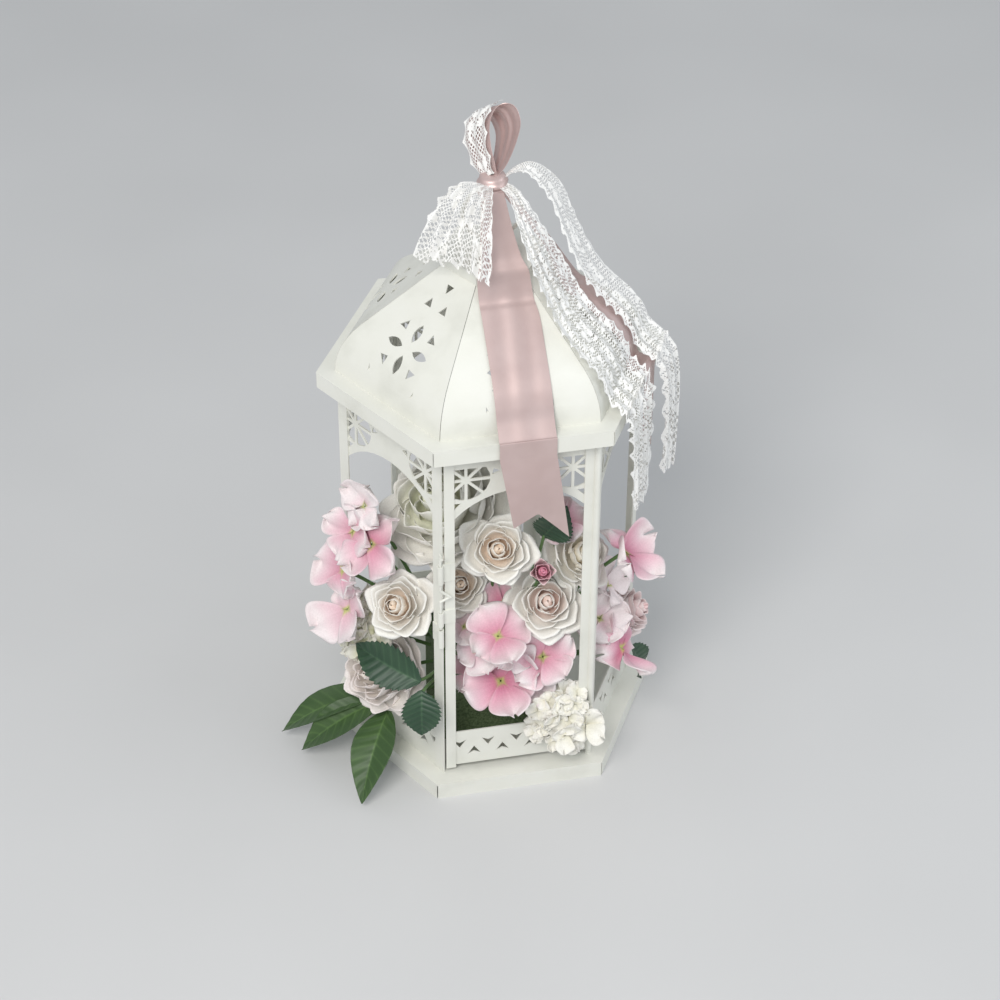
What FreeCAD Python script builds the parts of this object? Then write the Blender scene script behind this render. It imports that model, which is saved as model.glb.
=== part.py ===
"""Wedding card box: a hexagonal pierced sheet-metal lantern with a hinged door, dressed with
artificial flowers, satin ribbon and lace. Millimetres, +Z up, the door faces -Y, and the
origin is the middle of the foot of the base tray."""
import FreeCAD, Part
import math
import os

V = FreeCAD.Vector

# Trays, posts and roof
base_corner_radius = 120.0
base_height = 13.0
tray_sheet = 1.0
corner_slit = 0.8
corner_slit_depth = 5.0
body_corner_radius = 106.0
wall_sheet = 1.0
post_width = 9.0
sheet_end_gap = 2.5
eave_corner_radius = 120.0
eave_top = 307.0
eave_height = 12.0
eave_opening_radius = 88.0
roof_top_radius = 34.0
roof_top_height = 381.0
roof_foot_radius = 107.0
roof_shoulder_radius = 0.6 * (roof_top_height - eave_top)
roof_sheet = 1.0
hip_gap = 0.4

# Pierced ornament of the roof panels, measured down the slope from the top edge
flower_drop = 58.5
petal_inner = 5.0
petal_length = 13.8
petal_width = 6.2
dart_inner = 14.8
dart_outer = 20.6
dart_spread = 11.0
small_dart = 6.4
pair_drop = 24.3
pair_spread = 7.1
top_dart_drop = 11.7
corner_dart_drop = 85.0
corner_dart_reach = 22.2
corner_dart_width = 7.0
corner_dart_height = 5.5

# Arch panels under the eave and pierced bands above the base
arch_spring_drop = 67.0
arch_crown_drop = 47.5
rosette_drop = 35.8
rosette_from_post = 8.0
rosette_radius = 16.5
rosette_hub = 3.2
rosette_bar = 2.0
rosette_bars = 8
rail_drop = 26.3
corner_hole = 5.0
band_top = 36.0
zigzag_pitch = 20.5
zigzag_width = 9.5
zigzag_height = 7.2
zigzag_notch = 2.2
zigzag_up_foot = 13.6
zigzag_down_foot = 20.4

# Door, hinge and bolt
door_foot_gap = 3.3
door_head_gap = 0.6
latch_gap = 1.2
door_band_foot_gap = 5.2
hinge_barrel_radius = 2.4
hinge_pin_radius = 1.2
hinge_clearance = 0.15
hinge_pin_reach = 14.0
hinge_shoulder_gap = 0.3
post_to_barrel = 0.9
bolt_wire_radius = 1.0
bolt_clearance = 0.15
sleeve_radius = 2.2
sleeve_stand_off = 3.0
strap_thickness = 0.8
strap_width = 7.0
strap_lift = 0.3
top_sleeve_foot = 189.4
top_sleeve_length = 15.0
middle_sleeve_foot = 152.4
middle_sleeve_length = 11.6
keeper_foot = 133.5
keeper_length = 15.3
bolt_tip_gap = 0.8
bolt_lock_travel = 8.0
kink_reach = 6.5
kink_height = 9.5
kink_rest_gap = 0.7
bolt_hook_length = 5.0
bolt_hook_gap = 0.6

# Collar, cap and hanging ring
collar_height = 8.0
collar_wall = 1.0
collar_set_in = 0.4
cap_overhang = 1.6
cap_sheet = 1.0
cap_dome_radius = 20.0
cap_dome_top_radius = 7.0
cap_dome_height = 4.0
lug_width = 8.0
lug_thickness = 2.4
lug_rise = 4.0
ring_radius = 20.0
ring_wire_radius = 1.5
ring_clearance = 0.6

# Ribbon and lace
ribbon_width = 38.0
ribbon_thickness = 0.8
ribbon_lift = 0.5
tail_centre = 2.5
tail_short_edge = 65.0
tail_long_edge = 80.0
tail_notch = 14.0
tail_drift = 9.0
knot_radius = 8.5
knot_height = 15.0
loop_width = 24.0
loop_height = 47.0
loop_half_depth = 14.0
loop_turn = -35.0
side_tail_hang = 70.0
side_tail_width = 24.0
side_tail_rows = ((-2.5, 0.15), (9.0, 0.4), (15.0, 1.0), (17.5, 1.0))
side_tail_lift = 1.2
side_tail_landing = 50.0
side_tail_lying = 57.0
lace_thickness = 1.0
lace_start_reach = 10.5
lace_leap_reach = 24.0
lace_land_reach = 38.0
lace_lying = (56.0, 70.0, 80.0, 88.0)
front_lace_widths = (8.0, 16.0, 30.0, 44.0, 50.0, 54.0, 57.0, 58.0)
front_lace_offsets = (-4.0, -5.0, -9.0, -13.0, -15.0, -17.0, -18.5, -19.5)
front_lace_rises = (2.5, -6.0, -28.0)
front_lace_hang = 86.0
back_lace_widths = (8.0, 15.0, 24.0, 27.0, 30.0, 32.0, 34.0, 36.0)
back_lace_offsets = (6.0, 13.0, 21.0, 26.0, 31.0, 34.5, 36.5, 38.5)
back_lace_rises = (2.0, 8.0, -14.0)
back_lace_hang = 92.0
lace_lift = 4.6
lace_fold = 3.0
lace_folds = 4

# Flowers, leaves and the foam that holds their stems
foam_size = (76.0, 50.0, 86.0)
foam_centre = (-12.0, -33.0)
stem_radius = 1.3
floret_thickness = 1.4
leaf_thickness = 0.8

# Facets of round and curved forms
round_sides = 12
bloom_sides = 10
stem_sides = 5
arc_steps = 6
leaf_steps = 6
ring_steps = 28

COS30 = math.cos(math.radians(30))
TAN30 = math.tan(math.radians(30))
FACES = {"front": 270, "right": 330, "back_right": 30, "back": 90, "back_left": 150, "left": 210}
FIXED_FACES = ("right", "back_right", "back", "back_left", "left")
UP = V(0, 0, 1)
ORIGIN = V(0, 0, 0)

base_top = base_height
eave_foot = eave_top - eave_height
eave_underside = eave_top - tray_sheet
body_apothem = body_corner_radius * COS30
half_face = body_corner_radius / 2
door_foot = base_top + door_foot_gap
door_head = eave_foot - door_head_gap
parts = {}


def polar(radius, degrees, height=0.0):
    """A point at a radius and a compass angle from the lantern's axis."""
    angle = math.radians(degrees)
    return V(radius * math.cos(angle), radius * math.sin(angle), height)


def prism(points, lift):
    """A solid from a closed outline of points, swept along a vector."""
    wire = Part.makePolygon(list(points) + [points[0]])
    return Part.Face(wire).extrude(lift)


def hexagon(corner_radius, foot, height):
    """A hexagonal prism about the axis, with corners at 0, 60, ... degrees."""
    corners = [polar(corner_radius, 60 * k, foot) for k in range(6)]
    return prism(corners, V(0, 0, height))


def turned(shape, face):
    """A copy of a shape made for the front face, turned to another face."""
    copy = shape.copy()
    copy.rotate(ORIGIN, UP, FACES[face] - FACES["front"])
    return copy


def fused(solids):
    """One solid out of several that touch."""
    result = solids[0]
    for solid in solids[1:]:
        result = result.fuse(solid)
    return result.removeSplitter()


def on_wall(points, depth_in, thickness):
    """A plate in the front face: outline points are (across, up), depth counted inwards."""
    y = -body_apothem + depth_in
    return prism([V(u, y, z) for u, z in points], V(0, thickness, 0))


def ring_wire(centre, axis, radius, sides):
    """A regular polygon about an axis, as a closed wire."""
    turn = FreeCAD.Rotation(UP, axis)
    corners = [centre + turn.multVec(polar(radius, 360 / sides * (k + 0.5))) for k in range(sides)]
    return Part.makePolygon(corners + [corners[0]])


def bar(radius, length, foot, axis=UP, sides=round_sides):
    """A round bar with faceted sides, its corners on the radius."""
    step = V(axis)
    step.normalize()
    return Part.Face(ring_wire(foot, axis, radius, sides)).extrude(step * length)


def bore(radius, length, foot, axis=UP, sides=round_sides):
    """The cut-out that leaves a hole with at least this radius all round."""
    return bar(radius / math.cos(math.pi / sides), length, foot, axis, sides)


def turned_form(profile, sides):
    """A faceted body about +Z through rings of (radius, height), in flat faces."""
    turns = [360 / sides * (k + 0.5) for k in range(sides)]
    rings = [[polar(r, turn, z) for turn in turns] for r, z in profile]
    outlines = [rings[0], rings[-1]]
    for low, high in zip(rings, rings[1:]):
        for k in range(sides):
            outlines.append([low[k - 1], low[k], high[k], high[k - 1]])
    faces = [Part.Face(Part.makePolygon(outline + [outline[0]])) for outline in outlines]
    solid = Part.makeSolid(Part.makeShell(faces))
    if solid.Volume < 0:
        solid.reverse()
    return solid


def sampled(start, middle, end, steps):
    """Points along the arc through three points."""
    return Part.Arc(start, middle, end).toShape().discretize(steps + 1)


def cloth(upper, lower):
    """A thin solid between two rows-by-columns nets of points, in flat triangles."""
    rows, columns = len(upper), len(upper[0])
    quads = []
    for i in range(rows - 1):
        for j in range(columns - 1):
            cell = ((i, j), (i, j + 1), (i + 1, j + 1), (i + 1, j))
            quads.append([upper[r][c] for r, c in cell])
            quads.append([lower[r][c] for r, c in cell[::-1]])
        for j in (0, columns - 1):
            quads.append([upper[i][j], upper[i + 1][j], lower[i + 1][j], lower[i][j]])
    for i in (0, rows - 1):
        for j in range(columns - 1):
            quads.append([upper[i][j], upper[i][j + 1], lower[i][j + 1], lower[i][j]])
    faces = []
    for a, b, c, d in quads:
        for corners in ((a, b, c), (a, c, d)):
            faces.append(Part.Face(Part.makePolygon([*corners, corners[0]])))
    solid = Part.makeSolid(Part.makeShell(faces))
    if solid.Volume < 0:
        solid.reverse()
    return solid


def vesica(length, width, foot):
    """A leaf outline of two bowed sides in the XY plane, its rib on X from a foot, as a face."""
    stations = [k / leaf_steps for k in range(leaf_steps + 1)]
    side = [V(foot + length * t, 2 * width * t * (1 - t), 0) for t in stations]
    other = [V(p.x, -p.y, 0) for p in side[-2:0:-1]]
    return Part.Face(Part.makePolygon(side + other + [side[0]]))


# Base tray and eave tray: hexagonal plates with a skirt folded down and open corner seams
def tray(corner_radius, foot, height):
    """An upside-down tray whose skirt is slit at the six corners."""
    inner = corner_radius - tray_sheet / COS30
    shell = hexagon(corner_radius, foot, height)
    shell = shell.cut(hexagon(inner, foot - 1, height - tray_sheet + 1))
    for k in range(6):
        slit = Part.makeBox(corner_slit_depth, corner_slit, height - tray_sheet)
        slit.translate(V(corner_radius - corner_slit_depth + 1, -corner_slit / 2, foot))
        slit.rotate(ORIGIN, UP, 60 * k)
        shell = shell.cut(slit)
    return shell


hinge_x = half_face - wall_sheet / 2
hinge_y = -body_apothem + wall_sheet / 2


def hinge_rod(radius, foot, height):
    """A round rod on the hinge axis."""
    return Part.makeCylinder(radius, height, V(hinge_x, hinge_y, foot), UP)


base = tray(base_corner_radius, 0, base_height)
base = base.cut(hinge_rod(hinge_pin_radius, 0, base_height + 1))
parts["base_tray"] = base
eave = tray(eave_corner_radius, eave_foot, eave_height)
eave = eave.cut(hexagon(eave_opening_radius, eave_foot, eave_height + 1))
eave = eave.cut(hinge_rod(hinge_pin_radius, eave_foot, eave_height + 1))
parts["eave_tray"] = eave


# Corner posts: folded angles, and single strips beside the door
def corner_post(degrees, start=(0.0, 0.0), sides=(True, True)):
    """Strips on one or both faces that meet at a corner, from the base to the eave plate."""
    strips = []
    corner = polar(body_corner_radius, degrees, base_top)
    height = V(0, 0, eave_underside - base_top)
    for side, turn in enumerate((-30, 30)):
        if not sides[side]:
            continue
        normal = polar(1, degrees + turn)
        along = polar(1, degrees + (-120 if turn < 0 else 120))
        outer = corner + along * start[side]
        far = corner + along * post_width
        inner = corner * 1.0 - normal * wall_sheet + along * start[side]
        if sides[0] and sides[1]:
            inner = polar(body_corner_radius - wall_sheet / COS30, degrees, base_top)
        strips.append(prism([outer, far, far - normal * wall_sheet, inner], height))
    return fused(strips)


for name, degrees in (("left", 180), ("back_left", 120), ("back_right", 60), ("right", 0)):
    parts["corner_post_" + name] = corner_post(degrees)
parts["latch_post"] = corner_post(240, sides=(True, False))
hinge_post_start = hinge_barrel_radius + post_to_barrel
parts["hinge_post"] = corner_post(300, (0, hinge_post_start), (False, True))


# Arch panels: sheet with a flat arch below and a spoked rosette in each top corner
def rosette_holes(centre_u, centre_z, half_span, rail):
    """The gaps between the spokes of one rosette, kept clear of post, rail and hub."""
    disc = bar(rosette_radius, 3 * wall_sheet, V(0, -wall_sheet, 0), V(0, 1, 0), 2 * rosette_bars)
    hub = bar(rosette_hub, 3 * wall_sheet, V(0, -wall_sheet, 0), V(0, 1, 0), rosette_bars)
    holes = disc.cut(hub)
    for k in range(rosette_bars // 2):
        spoke = Part.makeBox(2 * rosette_radius, 3 * wall_sheet, rosette_bar)
        spoke.translate(V(-rosette_radius, -wall_sheet, -rosette_bar / 2))
        spoke.rotate(ORIGIN, V(0, 1, 0), 360 / rosette_bars * k)
        holes = holes.cut(spoke)
    holes.translate(V(centre_u, -body_apothem + wall_sheet, centre_z))
    window = Part.makeBox(2 * half_span, 6 * wall_sheet, rosette_radius + rail - centre_z)
    window.translate(V(-half_span, -body_apothem - 2 * wall_sheet, centre_z - rosette_radius))
    return holes.common(window)


def arch_panel(left, right, head):
    """Arched sheet between two side edges, pierced with two rosettes and corner holes."""
    window_half = half_face - post_width
    spring = eave_top - arch_spring_drop
    crown = eave_top - arch_crown_drop
    y = -body_apothem + wall_sheet
    arch = sampled(V(window_half, y, spring), V(0, y, crown), V(-window_half, y, spring), 2 * arc_steps)
    corners = [V(left, y, spring), V(left, y, head), V(right, y, head), V(right, y, spring)]
    panel = prism(corners + arch, V(0, wall_sheet, 0))
    hub_u = window_half - rosette_from_post
    hub_z = eave_top - rosette_drop
    rail = eave_top - rail_drop
    for side in (-1, 1):
        panel = panel.cut(rosette_holes(side * hub_u, hub_z, window_half, rail))
        ring_edge = hub_u - rosette_radius
        beside = [(side * (ring_edge - rosette_bar), rail - rosette_bar),
                  (side * (ring_edge - rosette_bar - corner_hole), rail - rosette_bar - corner_hole / 2),
                  (side * (ring_edge - rosette_bar / 2), rail - rosette_bar - corner_hole)]
        below_z = hub_z - rosette_radius - rosette_bar
        below = [(side * window_half, below_z), (side * (window_half - corner_hole), below_z),
                 (side * window_half, below_z - corner_hole)]
        for outline in (beside, below):
            panel = panel.cut(on_wall(outline, 0, 3 * wall_sheet))
    return panel


# Pierced bands: a row of concave darts, point up and point down in turn
def pierced_band(left, right, foot):
    """Sheet band along the base with the zigzag of darts."""
    top = base_top + band_top
    band = on_wall([(left, foot), (right, foot), (right, top), (left, top)], wall_sheet, wall_sheet)
    half = zigzag_width / 2
    reach = half_face - post_width
    count = int(reach / (zigzag_pitch / 2))
    for k in range(-count, count + 1):
        u = k * zigzag_pitch / 2
        if k % 2:
            z, rise, notch = base_top + zigzag_up_foot, zigzag_height, zigzag_notch
        else:
            z = base_top + zigzag_down_foot + zigzag_height
            rise, notch = -zigzag_height, -zigzag_notch
        dart = [(u - half, z), (u, z + notch), (u + half, z), (u, z + rise)]
        band = band.cut(on_wall(dart, 0, 3 * wall_sheet))
    return band


fixed_half = (body_apothem - wall_sheet) * TAN30 - sheet_end_gap
fixed_arch = arch_panel(-fixed_half, fixed_half, eave_underside)
fixed_band = pierced_band(-fixed_half, fixed_half, base_top)
for face in FIXED_FACES:
    parts["arch_panel_" + face] = turned(fixed_arch, face)
    parts["pierced_band_" + face] = turned(fixed_band, face)

# Door: two stiles in front, arch and band sheets behind, the hinge stile rolled round the pins
latch_edge = -half_face + wall_sheet * COS30 + latch_gap
stile_inner = half_face - post_width
sheet_left = latch_edge + sheet_end_gap / 2
sheet_right = hinge_x - hinge_barrel_radius - sheet_end_gap / 2
door_height = door_head - door_foot
latch_stile = [(latch_edge, door_foot), (-stile_inner, door_foot),
               (-stile_inner, door_head), (latch_edge, door_head)]
parts["door_latch_stile"] = on_wall(latch_stile, 0, wall_sheet)
hinge_stile = [(stile_inner, door_foot), (hinge_x, door_foot), (hinge_x, door_head), (stile_inner, door_head)]
barrel = hinge_rod(hinge_barrel_radius, door_foot, door_height)
barrel_bore = hinge_rod(hinge_pin_radius + hinge_clearance, door_foot, door_height)
parts["door_hinge_stile"] = on_wall(hinge_stile, 0, wall_sheet).fuse(barrel).cut(barrel_bore)
parts["door_arch"] = arch_panel(sheet_left, sheet_right, door_head)
parts["door_band"] = pierced_band(sheet_left, sheet_right, base_top + door_band_foot_gap)

# Hinge pins: wires through the base and the eave plate, the lower one with a shoulder
lower_pin = hinge_rod(hinge_pin_radius, base_top - tray_sheet, tray_sheet + door_foot_gap + hinge_pin_reach)
shoulder = hinge_rod(hinge_barrel_radius, base_top, door_foot_gap - hinge_shoulder_gap)
upper_foot = door_head - hinge_pin_reach
upper_pin = hinge_rod(hinge_pin_radius, upper_foot, eave_underside + tray_sheet / 2 - upper_foot)
parts["hinge_pins"] = Part.makeCompound([lower_pin.fuse(shoulder).removeSplitter(), upper_pin])

# Slide bolt: bent wire in two sleeves on the door, and a keeper sleeve on the latch post
corner_front = polar(body_corner_radius, 240)
bolt_axis = corner_front + polar(sleeve_stand_off, 240)


def sleeve(foot, length):
    """A rolled sleeve on the bolt axis with a strap that lies on the door stile."""
    axis_foot = V(bolt_axis.x, bolt_axis.y, foot)
    tube = bar(sleeve_radius, length, axis_foot)
    face_y = -body_apothem
    pad = Part.makeBox(strap_width, strap_thickness, length, V(latch_edge, face_y - strap_thickness, foot))
    bridge_y = face_y - strap_lift - strap_thickness
    reach = latch_edge - bolt_axis.x + strap_width / 2
    bridge = Part.makeBox(reach, strap_thickness, length, V(bolt_axis.x, bridge_y, foot))
    return fused([tube, bridge, pad]).cut(bore(bolt_wire_radius + bolt_clearance, length, axis_foot))


parts["bolt_sleeves"] = Part.makeCompound([sleeve(top_sleeve_foot, top_sleeve_length),
                                           sleeve(middle_sleeve_foot, middle_sleeve_length)])
parts["bolt_keeper"] = sleeve(keeper_foot, keeper_length).mirror(ORIGIN, polar(1, 240 + 90))


def bent_wire(points, radius, closed=False, sides=8):
    """Wire along straight runs, mitred at each bend, each run a solid of its own before fusing."""
    runs = list(zip(points, points[1:] + points[:1])) if closed else list(zip(points, points[1:]))
    heading = [(b - a).normalize() for a, b in runs]
    sections = []
    for k, point in enumerate(points):
        ahead = heading[k] if closed or k < len(runs) else heading[-1]
        behind = heading[k - 1] if closed or k else heading[0]
        plane = ahead + behind
        corners = []
        for spin in range(sides):
            start = FreeCAD.Rotation(UP, ahead).multVec(polar(radius, 360 / sides * (spin + 0.5)))
            slide = -(start * plane) / (ahead * plane)
            corners.append(point + start + ahead * slide)
        sections.append((ahead, corners))
    solids = []
    for k in range(len(runs)):
        ahead, near = sections[k]
        far_point = points[(k + 1) % len(points)]
        far_plane = ahead + (heading[(k + 1) % len(runs)] if closed or k + 1 < len(runs) else ahead)
        far = []
        for corner in near:
            gap = (far_point - corner) * far_plane / (ahead * far_plane)
            far.append(corner + ahead * gap)
        loops = [Part.makePolygon(ring + [ring[0]]) for ring in (near, far)]
        solids.append(Part.makeLoft(loops, True, True))
    return fused(solids)


kink_foot = middle_sleeve_foot + middle_sleeve_length + kink_rest_gap + bolt_wire_radius + bolt_lock_travel
bolt_top = top_sleeve_foot + top_sleeve_length + bolt_hook_gap + bolt_wire_radius + bolt_lock_travel
bolt_tip = keeper_foot + keeper_length + bolt_tip_gap


def bolt_point(height, reach=0.0, out=0.0):
    """A point beside the bolt axis, along the door or away from it."""
    return V(bolt_axis.x + reach, bolt_axis.y - out, height)


parts["door_bolt"] = bent_wire([
    bolt_point(bolt_tip), bolt_point(kink_foot),
    bolt_point(kink_foot + kink_height * 0.35, kink_reach),
    bolt_point(kink_foot + kink_height), bolt_point(bolt_top),
    bolt_point(bolt_top, 0, bolt_hook_length)], bolt_wire_radius)

# Roof: six pierced panels, straight on top and rolled down to the eave in a round shoulder
roof_top_apothem = roof_top_radius * COS30
roof_foot_apothem = roof_foot_radius * COS30
shoulder_a = roof_foot_apothem - roof_shoulder_radius
top_from_centre = math.hypot(roof_top_apothem - shoulder_a, roof_top_height - eave_top)
top_bearing = math.atan2(roof_top_height - eave_top, roof_top_apothem - shoulder_a)
touch_bearing = top_bearing - math.acos(roof_shoulder_radius / top_from_centre)
slope = math.pi / 2 - touch_bearing


def shoulder_point(radius, bearing):
    """A point of the round shoulder, as apothem and height."""
    return shoulder_a + radius * math.cos(bearing), eave_top + radius * math.sin(bearing)


def roof_height(apothem, lift=0.0):
    """Height of the roof's outer face, or of an offset of it, at a distance from the axis."""
    touch = shoulder_point(roof_shoulder_radius + lift, touch_bearing)
    if apothem <= touch[0]:
        return touch[1] + (touch[0] - apothem) * math.tan(slope)
    across = min((apothem - shoulder_a) / (roof_shoulder_radius + lift), 1.0)
    return eave_top + (roof_shoulder_radius + lift) * math.sin(math.acos(across))


def roof_point(apothem, height):
    """A point in the middle plane of the front panel."""
    return V(0, -apothem, height)


def slope_band(inner_lift, outer_lift, apothem_from):
    """Closed outline between two offsets of the roof profile, as a face in the YZ plane."""
    outer_r = roof_shoulder_radius + outer_lift
    inner_r = roof_shoulder_radius + inner_lift
    top = [roof_point(apothem_from, roof_height(apothem_from, lift)) for lift in (outer_lift, inner_lift)]
    turns = [touch_bearing * (1 - k / arc_steps) for k in range(arc_steps + 1)]
    outer = [roof_point(*shoulder_point(outer_r, turn)) for turn in turns]
    inner = [roof_point(*shoulder_point(inner_r, turn)) for turn in turns]
    outline = [top[0]] + outer + inner[::-1] + [top[1]]
    return Part.Face(Part.makePolygon(outline + [outline[0]]))


def roof_panel():
    """The front roof panel with its pierced flower and darts."""
    width = 2 * roof_foot_radius
    section = slope_band(-roof_sheet, 0, roof_top_apothem - 4 * roof_sheet)
    section.translate(V(-width / 2, 0, 0))
    panel = section.extrude(V(width, 0, 0))
    far = 2 * roof_foot_radius
    wedge = prism([V(0, -hip_gap, eave_top), V(-far * TAN30, -far - hip_gap, eave_top),
                   V(far * TAN30, -far - hip_gap, eave_top)], V(0, 0, roof_top_height - eave_top))
    panel = panel.common(wedge)
    return panel.cut(roof_ornament())


def dart(points):
    """A cut-out from an outline in slope coordinates."""
    return prism([V(u, -v, -6 * roof_sheet) for u, v in points], V(0, 0, 12 * roof_sheet))


def roof_ornament():
    """All cut-outs of one panel, made flat and then tilted onto the slope."""
    cuts = []
    for k in range(4):
        petal = vesica(petal_length, petal_width, petal_inner).extrude(V(0, 0, 12 * roof_sheet))
        petal.translate(V(0, 0, -6 * roof_sheet))
        petal.rotate(ORIGIN, UP, 90 * k)
        petal.translate(V(0, -flower_drop, 0))
        cuts.append(petal)
        spread = math.radians(dart_spread)
        tip = [(dart_inner, 0), (dart_outer, -spread), (dart_outer, spread)]
        angle = math.radians(45 + 90 * k)
        cuts.append(dart([(r * math.cos(angle + a), flower_drop - r * math.sin(angle + a)) for r, a in tip]))
    half = small_dart / 2
    for side in (-1, 1):
        u = side * pair_spread
        cuts.append(dart([(u - half, pair_drop + half), (u + half, pair_drop + half), (u, pair_drop - half)]))
        outer = side * corner_dart_reach
        inner = outer - side * corner_dart_width
        waist = (outer - side * corner_dart_width / 4, corner_dart_drop - corner_dart_height / 4)
        cuts.append(dart([(outer, corner_dart_drop), (outer, corner_dart_drop - corner_dart_height), waist,
                          (inner, corner_dart_drop)]))
    cuts.append(dart([(-half, top_dart_drop - half), (half, top_dart_drop - half), (0, top_dart_drop + half)]))
    ornament = Part.makeCompound(cuts)
    ornament.rotate(ORIGIN, V(1, 0, 0), math.degrees(slope))
    ornament.translate(roof_point(roof_top_apothem, roof_top_height))
    return ornament


panel = roof_panel()
for face in FACES:
    parts["roof_panel_" + face] = turned(panel, face)

# Collar, cap, ring lug and hanging ring on top of the roof
collar_radius = roof_top_radius - collar_set_in
collar_top = roof_top_height + collar_height
collar = hexagon(collar_radius, roof_top_height, collar_height)
collar = collar.cut(hexagon(collar_radius - collar_wall / COS30, roof_top_height - 1, collar_height + 2))
parts["roof_collar"] = collar
cap_top = collar_top + cap_sheet
dome_top = cap_top + cap_dome_height
cap = hexagon(collar_radius + cap_overhang, collar_top, cap_sheet)
dome = turned_form([(cap_dome_radius, cap_top), (cap_dome_top_radius, dome_top)], 2 * round_sides)
parts["roof_cap"] = cap.fuse(dome).removeSplitter()
ring_pivot = dome_top + lug_rise
ring_centre = ring_pivot + ring_radius
lug_outline = [V(-lug_thickness / 2, -lug_width / 2, dome_top), V(-lug_thickness / 2, lug_width / 2, dome_top),
               V(-lug_thickness / 2, lug_width / 2, ring_pivot),
               V(-lug_thickness / 2, -lug_width / 2, ring_pivot)]
lug = prism(lug_outline, V(lug_thickness, 0, 0))
eye = V(-lug_thickness / 2, 0, ring_pivot)
lug = lug.fuse(bar(lug_width / 2, lug_thickness, eye, V(1, 0, 0)))
lug = lug.cut(Part.makeCylinder(ring_wire_radius + ring_clearance, lug_thickness, eye, V(1, 0, 0)))
parts["ring_lug"] = lug.removeSplitter()
ring_turns = [math.radians(360 / ring_steps * k) for k in range(ring_steps)]
ring_path = [V(ring_radius * math.sin(a), 0, ring_centre - ring_radius * math.cos(a)) for a in ring_turns]
ring = bent_wire(ring_path, ring_wire_radius, closed=True)
parts["hanging_ring"] = ring

# Satin ribbon: a knot round the ring, a standing loop above it and two tails down the roof
knot_middle = ring_centre + ring_radius
knot_half = knot_height / 2
knot = turned_form([(0.7 * knot_radius, knot_middle - knot_half), (knot_radius, knot_middle - 0.1 * knot_half),
                    (0.75 * knot_radius, knot_middle + knot_half)], round_sides)
parts["satin_knot"] = knot.cut(ring)
knot_top = knot_middle + knot_height / 2
loop_top = knot_top + loop_height


def teardrop(inset):
    """Outline of the standing loop in the XZ plane, pinched at the knot."""
    half = loop_half_depth - inset
    waist = knot_top + loop_height * 0.62
    foot = V(0, 0, knot_top + inset)
    left, right, crest = V(-half, 0, waist), V(half, 0, waist), V(0, 0, loop_top - inset)
    mids = [V(s * half * 0.72, 0, knot_top + loop_height * 0.26 + inset) for s in (1, -1)]
    outline = sampled(foot, mids[0], right, arc_steps)[:-1] + sampled(right, crest, left, 2 * arc_steps)[:-1]
    outline += sampled(left, mids[1], foot, arc_steps)
    return Part.Face(Part.makePolygon(outline))


loop = teardrop(0).extrude(V(0, loop_width, 0)).cut(teardrop(ribbon_thickness * 2).extrude(V(0, loop_width, 0)))
loop.translate(V(0, -loop_width / 2, 0))
loop.rotate(ORIGIN, UP, 90 + loop_turn)
parts["satin_loop"] = loop

eave_apothem = eave_corner_radius * COS30
tail_out = eave_apothem + ribbon_lift


def front_tail():
    """Ribbon from the knot down the front panel, over the eave, with a notched free end."""
    half = ribbon_width / 2
    roof_part = slope_band(ribbon_lift, ribbon_lift + ribbon_thickness, cap_reach)
    roof_part.translate(V(tail_centre - half, 0, 0))
    pieces = [roof_part.extrude(V(ribbon_width, 0, 0))]
    ledge_y = -roof_foot_apothem - ribbon_lift
    under = eave_top + ribbon_lift
    over = under + ribbon_thickness
    ledge = [(ledge_y - ribbon_thickness, over), (ledge_y, over), (ledge_y, under), (-tail_out, under),
             (-tail_out, eave_foot), (-tail_out - ribbon_thickness, eave_foot), (-tail_out - ribbon_thickness, over)]
    pieces.append(prism([V(tail_centre - half, y, z) for y, z in ledge], V(ribbon_width, 0, 0)))
    y = -tail_out - ribbon_thickness
    left, right = tail_centre - half, tail_centre + half
    end = [V(left, y, eave_foot), V(right, y, eave_foot), V(right + tail_drift, y, eave_top - tail_long_edge),
           V(tail_centre + tail_drift, y, eave_top - (tail_short_edge + tail_long_edge) / 2 + tail_notch),
           V(left + tail_drift, y, eave_top - tail_short_edge)]
    pieces.append(prism(end, V(0, ribbon_thickness, 0)))
    over_cap = cap_top + ribbon_lift
    knot_y = -knot_radius - ribbon_lift
    rise = [(-cap_reach, roof_height(cap_reach, ribbon_lift)), (-cap_reach, over_cap), (knot_y, knot_middle),
            (knot_y - ribbon_thickness, knot_middle), (-cap_reach - ribbon_thickness, over_cap),
            (-cap_reach - ribbon_thickness, roof_height(cap_reach, ribbon_lift))]
    strip = prism([V(left, y, z) for y, z in rise], V(ribbon_width, 0, 0))
    taper = prism([V(left, 0, roof_height(cap_reach) - 4), V(right, 0, roof_height(cap_reach) - 4),
                   V(tail_centre + 6, 0, knot_middle + 1), V(tail_centre - 10, 0, knot_middle + 1)],
                  V(0, -2 * cap_reach, 0))
    pieces.append(strip.common(taper))
    return fused(pieces)


cap_reach = (collar_radius + cap_overhang) * COS30 + 2 * ribbon_lift
parts["satin_front_tail"] = front_tail()


# Lace: pleated strips worked out over the roof, lifted clear of it
def over_roof(x, y, lift):
    """Height of a strip that lies on the roof, the eave ledge or hangs beyond it."""
    apothem = max(x * math.cos(math.radians(a)) + y * math.sin(math.radians(a)) for a in FACES.values())
    return max(roof_height(apothem, lift), eave_top + lift)


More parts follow.
